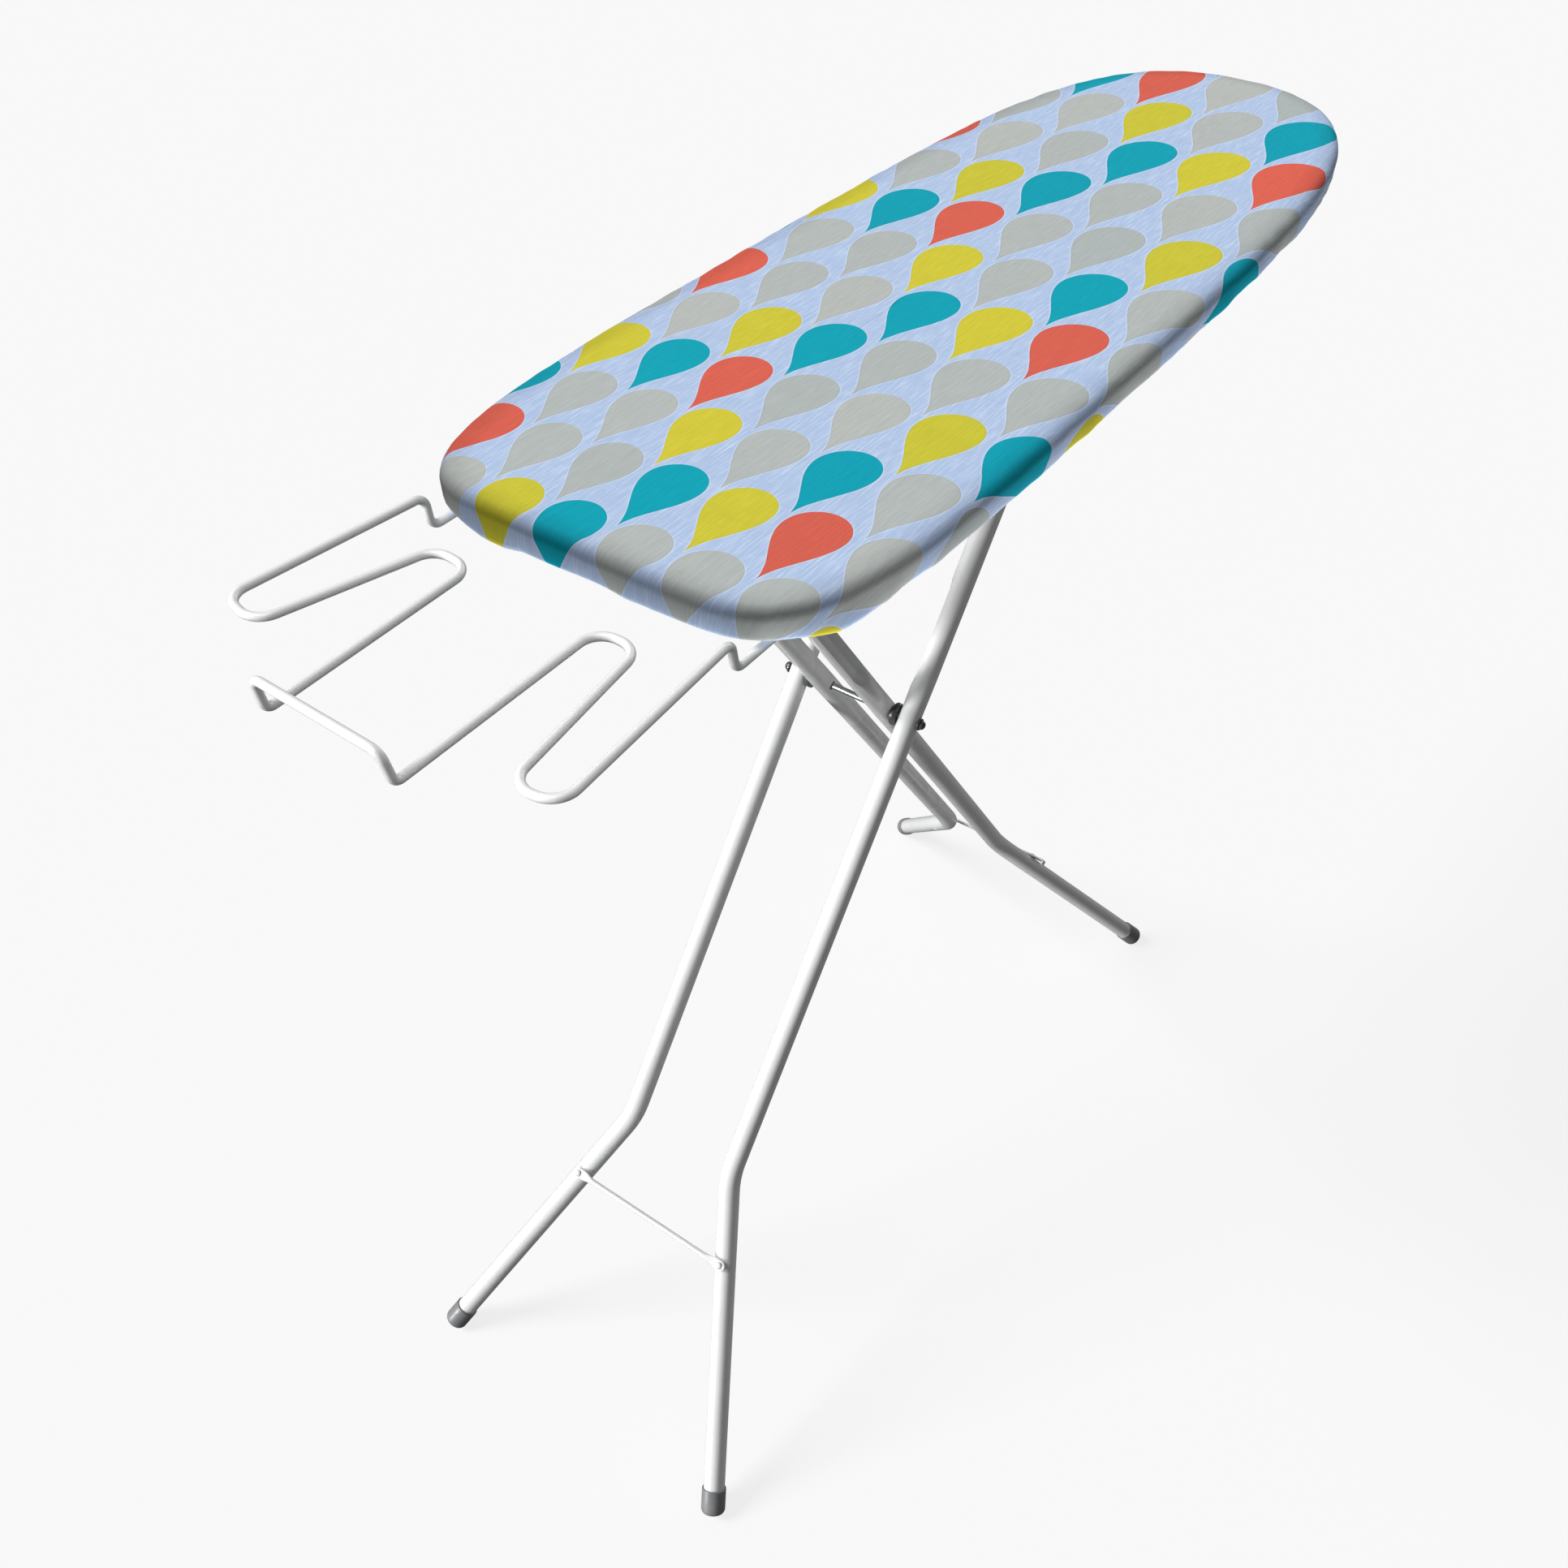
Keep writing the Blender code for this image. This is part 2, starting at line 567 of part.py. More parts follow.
def carriage():
    """The height lock: a block on the sliding bar that grips the rod with a tilting plate, and its lever."""
    half = (0.020, 0.016)
    low = HINGE_Z - 0.009
    high = ROD_Z + 0.0072
    block = box("carriage_block", (SLIDE_X - half[0], -half[1], low), (SLIDE_X + half[0], half[1], high), NYLON,
                round_edge=0.0015)
    reach = Vector((0, 0.03, 0))
    bar_bore = cylinder("block_bar_bore", SLIDE - reach, SLIDE + reach, BAR_RADIUS + GAP)
    rod_bore = cylinder("block_rod_bore", (SLIDE_X - 0.03, 0, ROD_Z), (SLIDE_X + 0.03, 0, ROD_Z),
                        ROD_RADIUS + 2 * GAP)
    floor = ROD_Z - 0.0082
    pocket = box("pocket", (SLIDE_X - 0.015, -0.0115, floor), (SLIDE_X + 0.015, 0.0115, high + 0.01))
    screw_at = Vector((SLIDE_X + half[0], -0.008, HINGE_Z - 0.0005))
    screw_bore = cylinder("screw_bore", screw_at - Vector((0.008, 0, 0)), screw_at + Vector((0.01, 0, 0)),
                          0.0015 + GAP, sides=12)
    cut(block, bar_bore, rod_bore, pocket, screw_bore)
    thick = 0.003
    at = SLIDE_X + 0.005
    corners = [(-0.010, floor + GAP), (0.010, floor + GAP), (0.010, high - 0.001), (-0.010, high - 0.001)]
    plate = section("lock_plate", corners, at, at + thick, "X", ZINC)
    plate_bore = cylinder("plate_bore", (at - 0.01, 0, ROD_Z), (at + 0.01 + thick, 0, ROD_Z), ROD_RADIUS + 2 * GAP)
    cut(plate, plate_bore)
    spring(SLIDE_X - 0.0142, at - 0.0008)
    lever(screw_at)


def spring(start, end):
    """The coil that pushes the lock plate over, wound round the rod."""
    turns = 4
    per_turn = 10
    wire = 0.0006
    count = turns * per_turn
    route = []
    for i in range(count + 1):
        turn = 2 * pi * i / per_turn
        x = start + wire + (end - start - 2 * wire) * i / count
        route.append((x, 0.0062 * cos(turn), ROD_Z + 0.0062 * sin(turn)))
    tube("lock_spring", route, wire, ZINC, sides=6)


def lever(screw_at):
    """The release lever: a pressed arm that dips under the rail, with a grip, on a screw in the block."""
    thick = 0.003
    start = screw_at.x + 2 * GAP
    top = HINGE_Z + 0.0045
    dip = 0.031
    arm = [(0.003, top), (-0.043, top), (-0.062, top - dip), (-0.134, top - dip)]
    arm += [(-0.134, top - dip - 0.009), (-0.066, top - dip - 0.010), (-0.047, top - 0.010), (0.003, top - 0.010)]
    handle = section("release_lever", arm, start, start + thick, "X", ZINC)
    bore = cylinder("lever_bore", screw_at - Vector((0.01, 0, 0)), screw_at + Vector((0.01, 0, 0)),
                    0.0015 + GAP, sides=12)
    cut(handle, bore)
    middle = (start + start + thick) / 2
    low = top - dip - 0.0125
    grip = box("lever_grip", (middle - 0.006, -0.1375, low), (middle + 0.006, -0.096, low + 0.0155), NYLON,
               round_edge=0.004)
    slot = box("grip_slot", (start - GAP, -0.1343, top - dip - 0.0096), (start + thick + GAP, -0.09, top - dip + GAP))
    cut(grip, slot)
    head = thick + 3 * GAP
    profile = [(0, head + 0.0025), (0.0028, head + 0.0022), (0.0038, head + GAP), (0.0015, head + GAP)]
    profile += [(0.0015, -0.007), (0, -0.007)]
    turned("lever_screw", profile, screw_at, (1, 0, 0), ZINC, steps=16)


def iron_rest():
    """One wire from socket to socket: up beside the heel, round two slots a side, and up to the stop bar.

    Its left slot is a little shorter than its right one.
    """
    low, high, stop = 0.939, 0.962, 0.985
    end = -0.236
    left = [((-0.342, 0.1250, low), 0.008), ((-0.343, 0.1270, high), 0.008), ((-0.491, 0.1435, high), 0.0157)]
    left += [((-0.499, 0.1105, high), 0.0157), ((-0.382, 0.0785, high), 0.0155), ((-0.384, 0.0465, high), 0.0155)]
    left += [((-0.547, 0.0440, high), 0.006), ((-0.549, 0.0465, stop), 0.007)]
    right = [((-0.552, -0.0530, stop), 0.007), ((-0.548, -0.0550, high), 0.006), ((-0.386, -0.0550, high), 0.0155)]
    right += [((-0.386, -0.0870, high), 0.0155), ((-0.515, -0.1035, high), 0.0157)]
    right += [((-0.510, -0.1355, high), 0.0157), ((-0.350, -0.1255, high), 0.008), ((-0.345, -0.1250, low), 0.008)]
    ends = [Vector((end, 0.125, low)), Vector((end, -0.125, low))]
    route = [ends[0]]
    corners = [(Vector(at), r) for at, r in left + right]
    spots = [ends[0]] + [at for at, _ in corners] + [ends[1]]
    for i, (_, radius) in enumerate(corners, 1):
        route += rounded(spots[i - 1 : i + 2], radius, radians(30))[1:-1]
    route.append(ends[1])
    shift = Vector((PIVOT_X, 0, 0))
    tube("iron_rest_wire", [point + shift for point in route], WIRE_RADIUS, PAINT, sides=8)
    for side, name in ((1, "left"), (-1, "right")):
        near, far = sorted((side * 0.1195, side * 0.1305))
        back = PIVOT_X + end + 0.003
        start = back - 0.038
        block = box("rest_socket_" + name, (start, near, low - 0.0055), (back, far, UNDER_PLATE_Z), PAINT,
                    round_edge=0.0015)
        bore = cylinder("wire_bore", (start - 0.01, side * 0.125, low), (PIVOT_X + end + GAP, side * 0.125, low),
                        WIRE_RADIUS + GAP, sides=12)
        cut(block, bore)


cover()
layers()
stringers_and_rails()
rod_parts()
inner_frame(hinge_parts(), outer_frame())
carriage()
iron_rest()
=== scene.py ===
"""The looks of the ironing board: printed cover, felt, expanded steel top, white tube legs and wire rest."""

import json
from math import acos, ceil, cos, pi, radians, sin

import bmesh
import bpy
import numpy as np
from mathutils import Matrix, Vector, noise


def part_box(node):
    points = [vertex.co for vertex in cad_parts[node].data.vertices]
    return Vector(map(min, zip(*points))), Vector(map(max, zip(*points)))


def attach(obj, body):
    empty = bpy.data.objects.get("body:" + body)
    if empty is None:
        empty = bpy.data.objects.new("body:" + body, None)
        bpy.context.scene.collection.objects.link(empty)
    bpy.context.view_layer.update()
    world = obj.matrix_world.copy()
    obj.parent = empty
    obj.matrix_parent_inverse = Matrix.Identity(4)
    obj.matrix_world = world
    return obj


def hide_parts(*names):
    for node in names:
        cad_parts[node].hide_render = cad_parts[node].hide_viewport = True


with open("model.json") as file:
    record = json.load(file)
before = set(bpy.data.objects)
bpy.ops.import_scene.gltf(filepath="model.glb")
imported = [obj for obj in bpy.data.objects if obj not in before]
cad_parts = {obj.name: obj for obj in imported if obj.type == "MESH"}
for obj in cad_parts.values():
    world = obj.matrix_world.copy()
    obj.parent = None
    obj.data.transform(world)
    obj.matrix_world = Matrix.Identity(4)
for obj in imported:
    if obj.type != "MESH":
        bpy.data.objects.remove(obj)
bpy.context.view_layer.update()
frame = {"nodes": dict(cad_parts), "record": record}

JOINTS = {joint["name"]: joint for joint in frame["record"]["behaviour"]["joints"]}
HINGE = Vector(JOINTS["leg_fold"]["pos_m"])
PIVOT = Vector(JOINTS["cross_pivot"]["pos_m"])
SLIDE = Vector(JOINTS["slide_pivot"]["pos_m"])
COVER_LOW, COVER_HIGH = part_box("fabric_cover")
PAD_LOW, PAD_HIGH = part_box("felt_pad")
PLATE_LOW, PLATE_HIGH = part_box("top_plate")
HEEL_X, NOSE_X = COVER_LOW.x, COVER_HIGH.x
HALF_WIDTH = COVER_HIGH.y
TOP_Z, SKIRT_Z = COVER_HIGH.z, COVER_LOW.z

# Board outline, as in the CAD
HEEL_CURVE = 0.532
HEEL_POWER = 6.22
NOSE_START_X = PIVOT.x - 0.0506
NOSE_POWER_X = 5.04
NOSE_POWER_Y = 2.447

# Legs, as in the CAD
TUBE_RADIUS = 0.010
TUBE_WALL = 0.001
TUBE_PAST_HINGE = 0.008
BEND_RADIUS = 0.09
LEG_DIRECTION = (PIVOT - SLIDE).normalized()
FOOT_Z = PIVOT.z - 0.761 * sin(acos(abs(LEG_DIRECTION.x)))
OUTER = {"top": SLIDE, "y": 0.058, "bend_z": 0.253, "foot_y": 0.165, "way": -1}
INNER = {"top": HINGE, "y": 0.032, "bend_z": 0.219, "foot_y": 0.171, "way": 1}
SIDES = ((1, "left"), (-1, "right"))

# Colours, linear
CLOTH_BLUE = (0.505, 0.618, 0.812)
CLOTH_SHADE = (0.405, 0.520, 0.740)
CLOTH_PALE = (0.690, 0.780, 0.910)
GREY_PRINT = (0.455, 0.492, 0.482)
TEAL_PRINT = (0.002, 0.360, 0.470)
CORAL_PRINT = (0.700, 0.125, 0.085)
YELLOW_PRINT = (0.610, 0.565, 0.045)
WHITE_PAINT = (0.86, 0.865, 0.87)
ZINC_GREY = (0.60, 0.61, 0.63)
NYLON_BLACK = (0.022, 0.022, 0.024)
CAP_GREY = (0.190, 0.192, 0.196)
SPACER_GREY = (0.060, 0.061, 0.064)
FELT_GREY = (0.60, 0.585, 0.55)
FELT_FLECK = (0.25, 0.27, 0.31)
ELASTIC_DARK, ELASTIC_PALE = (0.62, 0.63, 0.65), (0.85, 0.85, 0.84)
DULL_ZINC = (0.44, 0.45, 0.46)

SHARP_ANGLE = radians(35)


# -------- node helpers

class Graph:
    """A material's node tree, with short names for the nodes used here."""

    def __init__(self, name):
        self.material = bpy.data.materials.new(name)
        self.material.use_nodes = True
        self.tree = self.material.node_tree
        self.shader = self.tree.nodes["Principled BSDF"]

    def node(self, kind, **settings):
        made = self.tree.nodes.new(kind)
        for key, value in settings.items():
            setattr(made, key, value)
        return made

    def feed(self, socket, value):
        """Link a socket to another, or set it."""
        if isinstance(value, bpy.types.NodeSocket):
            self.tree.links.new(value, socket)
        elif isinstance(value, tuple) and len(value) == 3 and len(socket.default_value) == 4:
            socket.default_value = (*value, 1)
        else:
            socket.default_value = value

    def fed(self, kind, values, **settings):
        """A new node with its first inputs fed in order."""
        made = self.node(kind, **settings)
        for socket, value in zip(made.inputs, values):
            self.feed(socket, value)
        return made

    def math(self, operation, *values):
        return self.fed("ShaderNodeMath", values, operation=operation).outputs[0]

    def add(self, a, b):
        return self.math("ADD", a, b)

    def sub(self, a, b):
        return self.math("SUBTRACT", a, b)

    def mul(self, a, b):
        return self.math("MULTIPLY", a, b)

    def div(self, a, b):
        return self.math("DIVIDE", a, b)

    def vector(self, operation, *values):
        made = self.fed("ShaderNodeVectorMath", values, operation=operation)
        return made.outputs["Value" if operation == "DOT_PRODUCT" else "Vector"]

    def split(self, vector):
        return self.fed("ShaderNodeSeparateXYZ", [vector]).outputs

    def join(self, *values):
        return self.fed("ShaderNodeCombineXYZ", values).outputs[0]

    def mix(self, factor, a, b, blend="MIX"):
        made = self.node("ShaderNodeMix", data_type="RGBA", blend_type=blend)
        self.feed(made.inputs["Factor"], factor)
        self.feed(made.inputs[6], a)
        self.feed(made.inputs[7], b)
        return made.outputs[2]

    def tint(self, color, by):
        return self.mix(1.0, color, by, "MULTIPLY")

    def ramp(self, value, low, high, to_low=0.0, to_high=1.0):
        """A smooth step from one range to another."""
        values = (value, low, high, to_low, to_high)
        return self.fed("ShaderNodeMapRange", values, interpolation_type="SMOOTHSTEP").outputs[0]

    def noise(self, place, scale, detail=3.0, roughness=0.55, stretch=None):
        if stretch:
            place = self.vector("MULTIPLY", place, stretch)
        made = self.node("ShaderNodeTexNoise")
        for key, value in (("Vector", place), ("Scale", scale), ("Detail", detail), ("Roughness", roughness)):
            self.feed(made.inputs[key], value)
        return made.outputs["Fac"]

    def bump(self, height, strength, distance, normal=None):
        made = self.node("ShaderNodeBump")
        for key, value in (("Strength", strength), ("Distance", distance), ("Height", height)):
            self.feed(made.inputs[key], value)
        if normal:
            self.feed(made.inputs["Normal"], normal)
        return made.outputs["Normal"]

    def place(self):
        """The point in the piece's own frame, in metres."""
        return self.node("ShaderNodeTexCoord").outputs["Object"]

    def set(self, **inputs):
        """Feed inputs of the shader, named with underscores for spaces."""
        for key, value in inputs.items():
            self.feed(self.shader.inputs[key.replace("_", " ")], value)


# -------- materials

def tinted(color, share):
    return tuple(c * share for c in color)


def painted_steel():
    """Glossy white powder coat: a faint orange peel, and a little dust in the tint."""
    g = Graph("white_powder_coat")
    at = g.place()
    dust = g.ramp(g.noise(at, 25.0), 0.35, 0.75)
    g.set(Base_Color=g.mix(dust, WHITE_PAINT, tinted(WHITE_PAINT, 0.96)))
    g.set(Roughness=g.ramp(g.noise(at, 14.0, 1.0), 0.3, 0.7, 0.24, 0.30))
    g.set(Normal=g.bump(g.noise(at, 320.0, 1.0), 0.05, 0.00010), Coat_Weight=0.35, Coat_Roughness=0.12)
    return g.material


def zinc(name="zinc_plate", brushed=(1.0, 1.0, 1.0)):
    """Bright zinc with fine drawn lines and duller patches."""
    g = Graph(name)
    at = g.place()
    lines = g.noise(at, 900.0, 2.0, stretch=brushed)
    patches = g.noise(at, 55.0, 4.0)
    g.set(Base_Color=g.mix(g.ramp(patches, 0.35, 0.7), ZINC_GREY, DULL_ZINC))
    g.set(Roughness=g.math("MULTIPLY_ADD", lines, 0.18, 0.24), Metallic=1.0)
    g.set(Normal=g.bump(lines, 0.25, 0.0002))
    return g.material


def moulded(name, color, rough=0.42, grain=700.0):
    """Moulded plastic with a fine spark-eroded grain."""
    g = Graph(name)
    at = g.place()
    g.set(Base_Color=g.mix(g.noise(at, 90.0), color, tinted(color, 1.35)))
    g.set(Roughness=g.ramp(g.noise(at, 140.0), 0.3, 0.7, rough - 0.06, rough + 0.08))
    g.set(Normal=g.bump(g.noise(at, grain, 2.0), 0.22, 0.0003))
    return g.material


def felt_material():
    """Grey-white needled felt with matted fibres."""
    g = Graph("needled_felt")
    at = g.place()
    fibre = g.noise(at, 750.0, 4.0, 0.7, stretch=(1.0, 0.35, 1.0))
    cloud = g.noise(at, 45.0, 4.0)
    flecks = g.ramp(g.noise(at, 420.0, 1.0), 0.66, 0.72)
    tint = g.mix(cloud, FELT_GREY, tinted(FELT_GREY, 0.78))
    g.set(Base_Color=g.mix(flecks, tint, FELT_FLECK))
    g.set(Normal=g.bump(fibre, 0.7, 0.0008), Roughness=0.97, Sheen_Weight=0.3)
    return g.material


def braid_material():
    """White braided elastic."""
    g = Graph("braided_elastic")
    at = g.place()
    braid = g.node("ShaderNodeTexWave", wave_type="BANDS", bands_direction="DIAGONAL")
    g.feed(braid.inputs["Vector"], at)
    braid.inputs["Scale"].default_value = 420.0
    g.set(Base_Color=g.mix(braid.outputs["Fac"], ELASTIC_DARK, ELASTIC_PALE))
    g.set(Normal=g.bump(braid.outputs["Fac"], 0.5, 0.0004), Roughness=0.8)
    return g.material


# The print: teardrops on a half-drop lattice that grows towards the nose. A tip in column u and row v lies
# at origin + (u * column step + v * row step) / (1 - growth . (u, v))
PRINT_ORIGIN = (-0.3751, -0.0035)
COLUMN_STEP = (0.0691, -0.0001)
ROW_STEP = (-0.0026, 0.0507)
PRINT_GROWTH = (0.0227, -0.0122)
# One drop, in steps of the lattice. Its flanks are part hollow curve and part bulging curve
DROP_START = -0.11
DROP_LENGTH = 1.20
DROP_HALF_WIDTH = 0.425
DROP_WIDEST = 0.72
DROP_LEAN = 0.05
DROP_HOLLOW = 0.84
# Colour of each drop by column, then by row from the left side of the board down. The columns repeat
PRINT_COLUMNS = ("RGGTY", "TGGYG", "YTRGG", "GGYTG")
FIRST_ROW = 3.0
PRINT_COLORS = {"R": CORAL_PRINT, "G": GREY_PRINT, "T": TEAL_PRINT, "Y": YELLOW_PRINT}
INK_RIM = (0.70, 0.68, 0.72)
THREAD_TINTS = (0.90, 0.90, 0.90), (1.42, 1.41, 1.38)
DROP_TINTS = (0.95, 0.97, 0.98), (1.07, 1.04, 1.02)
WEAVE_PITCH = 0.0011
# The cloth is painted greyer where it rolls over the edge: painted shade in the roll of the edge. On each
# side of the roll, the first distance from the flat top has no painted shade and the second one has it in
# full
PAINTED_SHADE_SHARE = 0.75
EDGE_SHADE = (0.66, 0.65, 0.66)
PAINTED_SHADE_RISE = (-0.018, 0.011)
PAINTED_SHADE_FALL = (0.030, 0.013)


def print_lattice(g, flat):
    """Lattice coordinates (u, v) of a point of the flat cloth."""
    (x0, y0), (gu, gv) = PRINT_ORIGIN, PRINT_GROWTH
    to_cloth = Matrix((
        (COLUMN_STEP[0] - x0 * gu, ROW_STEP[0] - x0 * gv, x0),
        (COLUMN_STEP[1] - y0 * gu, ROW_STEP[1] - y0 * gv, y0),
        (-gu, -gv, 1),
    ))
    rows = to_cloth.inverted()
    x, y, _ = g.split(flat)
    point = g.join(x, y, 1.0)
    parts = [g.vector("DOT_PRODUCT", point, tuple(row)) for row in rows]
    return g.div(parts[0], parts[2]), g.div(parts[1], parts[2])


def drop_layer(g, u, v, back):
    """The drops whose tips are in this column, or one column back.

    Gives how far a point is inside the drop's edge, the drop's colour number from 0 to 1, and a vector that
    is the same all over one drop.
    """
    from_start = g.sub(u, DROP_START)
    column = g.sub(g.math("FLOOR", from_start), float(back))
    along = g.div(g.sub(from_start, column), DROP_LENGTH)
    odd = g.math("FLOORED_MODULO", column, 2.0)
    height = g.math("MULTIPLY_ADD", odd, -0.5, v)
    height = g.math("MULTIPLY_ADD", along, -DROP_LEAN, height)
    row = g.math("ROUND", height)
    across = g.math("ABSOLUTE", g.sub(height, row))
    phase = g.div(along, DROP_WIDEST)
    concave = g.math("MULTIPLY_ADD", g.math("COSINE", g.mul(phase, pi)), -0.5, 0.5)
    bulge = g.math("SINE", g.mul(phase, pi / 2))
    flank = g.add(g.mul(concave, DROP_HOLLOW), g.mul(bulge, 1 - DROP_HOLLOW))
    end = g.div(g.sub(along, DROP_WIDEST), 1 - DROP_WIDEST)
    cap = g.math("SQRT", g.math("MAXIMUM", g.sub(1.0, g.mul(end, end)), 0.0))
    past = g.math("GREATER_THAN", along, DROP_WIDEST)
    width = g.add(flank, g.mul(past, g.sub(cap, flank)))
    inside = g.math("MULTIPLY_ADD", width, DROP_HALF_WIDTH, g.mul(across, -1.0))
    inside = g.sub(inside, g.math("GREATER_THAN", along, 1.0))
    bands, rows = len(PRINT_COLUMNS), len(PRINT_COLUMNS[0])
    band = g.math("FLOORED_MODULO", column, float(bands))
    place = g.math("FLOORED_MODULO", g.sub(FIRST_ROW, row), float(rows))
    number = g.add(g.math("MULTIPLY_ADD", band, float(rows), place), 0.5)
    number = g.div(number, float(bands * rows))
    return inside, number, g.join(column, row)


def print_color(g, number):
    """The colour of drop number 0 to 1, as a stepped ramp."""
    made = g.node("ShaderNodeValToRGB")
    made.color_ramp.interpolation = "CONSTANT"
    letters = "".join(PRINT_COLUMNS)
    stops = made.color_ramp.elements
    stops[0].color = (*PRINT_COLORS[letters[0]], 1)
    stops.remove(stops[1])
    for i, letter in enumerate(letters):
        if i and letter != letters[i - 1]:
            stops.new(i / len(letters)).color = (*PRINT_COLORS[letter], 1)
    g.feed(made.inputs["Fac"], number)
    return made.outputs["Color"]


def cotton_material():
    """Pale blue cotton: slubs along the board, a fine weave, soft creases and the teardrop print."""
    g = Graph("printed_cotton")
    flat = g.node("ShaderNodeUVMap", uv_map="flat_cut").outputs["UV"]
    slub = g.noise(flat, 620.0, 3.0, 0.6, stretch=(0.07, 1.0, 1.0))
    cross_slub = g.noise(flat, 520.0, 3.0, 0.6, stretch=(1.0, 0.09, 1.0))
    cloud = g.noise(flat, 16.0, 4.0, 0.6)
    base = g.mix(g.ramp(slub, 0.40, 0.66), CLOTH_SHADE, CLOTH_BLUE)
    base = g.mix(g.mul(g.ramp(slub, 0.56, 0.76), 0.4), base, CLOTH_PALE)
    base = g.mix(g.mul(g.ramp(cross_slub, 0.52, 0.78), 0.25), base, CLOTH_PALE)
    base = g.mix(g.mul(g.ramp(cloud, 0.40, 0.75), 0.30), base, CLOTH_SHADE)
    u, v = print_lattice(g, flat)
    wobble = g.mul(g.sub(g.noise(flat, 130.0, 2.0), 0.5), 0.010)
    thread = g.add(g.mul(g.ramp(slub, 0.36, 0.74), 0.20), g.mul(cross_slub, 0.10))
    color = base
    for back in (0, 1):
        inside, number, name = drop_layer(g, u, v, back)
        inside = g.add(inside, wobble)
        ink = print_color(g, number)
        halo = g.mul(g.ramp(inside, -0.030, -0.008), 0.38)
        color = g.mix(halo, color, CLOTH_PALE)
        rim = g.mul(g.ramp(inside, 0.020, 0.004), 0.35)
        ink = g.mix(rim, ink, g.tint(ink, INK_RIM))
        ink = g.tint(ink, g.mix(thread, *THREAD_TINTS))
        batch = g.node("ShaderNodeTexWhiteNoise", noise_dimensions="2D")
        g.feed(batch.inputs["Vector"], name)
        ink = g.tint(ink, g.mix(batch.outputs["Value"], *DROP_TINTS))
        color = g.mix(g.ramp(inside, -0.004, 0.004), color, ink)
    run = g.node("ShaderNodeAttribute", attribute_name="edge_run").outputs["Fac"]
    # Painted shade: the cloth is darkened in a band where it rolls over the edge
    painted_edge_shade = g.mul(g.ramp(run, *PAINTED_SHADE_RISE), g.ramp(run, *PAINTED_SHADE_FALL))
    color = g.mix(g.mul(painted_edge_shade, PAINTED_SHADE_SHARE), color, g.tint(color, EDGE_SHADE))
    x, y, _ = g.split(flat)
    weave = [g.math("SINE", g.mul(along, 2 * pi / WEAVE_PITCH)) for along in (x, y)]
    cloth = g.math("MULTIPLY_ADD", slub, 1.2, g.mul(g.mul(*weave), 0.20))
    fine = g.bump(cloth, 0.30, 0.0004)
    folds = g.noise(flat, 30.0, 3.0, 0.5, stretch=(0.45, 1.6, 1.0))
    across = g.noise(flat, 24.0, 2.0, 0.5, stretch=(1.5, 0.5, 1.0))
    folds = g.add(g.ramp(folds, 0.56, 0.72), g.mul(g.ramp(across, 0.60, 0.75), 0.8))
    g.set(Base_Color=color, Normal=g.bump(folds, 0.16, 0.0012, fine), Roughness=0.86, Specular_IOR_Level=0.08)
    return g.material


PAINT = painted_steel()
ZINC = zinc()
DRAWN_ZINC = zinc("drawn_zinc", (0.06, 1.0, 1.0))
NYLON = moulded("black_nylon", NYLON_BLACK)
GLOSS_NYLON = moulded("glossy_nylon", SPACER_GREY, 0.24, 300.0)
FOOT_PLASTIC = moulded("grey_plastic", CAP_GREY, 0.40, 500.0)
FELT = felt_material()
BRAID = braid_material()
COTTON = cotton_material()


# -------- mesh helpers

def new_piece(name, mesh, material, body, node=None, smooth_angle=40):
    """A shown piece: its material, the body it rides on, and the CAD node it stands for."""
    obj = linked(name, mesh)
    mesh.materials.append(material)
    mesh.shade_smooth()
    mesh.set_sharp_from_angle(angle=radians(smooth_angle))
    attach(obj, body)
    if node:
        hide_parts(*([node] if isinstance(node, str) else node))
    return obj


def linked(name, data):
    """A new object in the scene."""
    obj = bpy.data.objects.new(name, data)
    bpy.context.scene.collection.objects.link(obj)
    return obj


def mesh_of(name, points, faces):
    mesh = bpy.data.meshes.new(name)
    mesh.from_pydata([tuple(p) for p in points], [], faces)
    mesh.validate()
    return mesh


def clamped(value):
    return min(1.0, max(0.0, value))


def eased(value):
    """A smooth step from 0 to 1."""
    value = clamped(value)
    return value * value * (3 - 2 * value)


def quarter_round(value):
    """The height of a quarter circle at a share of its width."""
    return (1 - (1 - clamped(value)) ** 2) ** 0.5


def thicken(obj, thickness, offset=-1):
    sheet = obj.modifiers.new("thickness", "SOLIDIFY")
    sheet.thickness = thickness
    sheet.offset = offset


def rounded(points, radii, step=radians(6)):
    """The points of a route whose inner corners are arcs. radii holds one radius for each corner."""
    points = [Vector(p) for p in points]
    route = [points[0]]
    for i, radius in enumerate(radii, 1):
        before, corner, after = points[i - 1 : i + 2]
        back = (before - corner).normalized()
        on = (after - corner).normalized()
        half = acos(max(-1.0, min(1.0, back.dot(on)))) / 2
        centre = corner + (back + on).normalized() * radius / sin(half)
        start = corner + back * radius * cos(half) / sin(half) - centre
        end = corner + on * radius * cos(half) / sin(half) - centre
        turn = pi - 2 * half
        count = max(2, ceil(turn / step))
        for j in range(count + 1):
            part = j / count
            arm = start * sin((1 - part) * turn) + end * sin(part * turn)
            route.append(centre + arm / sin(turn))
    route.append(points[-1])
    return route


def refine(route, spacing):
    """The same route with points no further apart than a spacing."""
    fine = [route[0]]
    for start, end in zip(route, route[1:]):
        count = max(1, ceil((end - start).length / spacing))
        fine += [start.lerp(end, (i + 1) / count) for i in range(count)]
    return fine


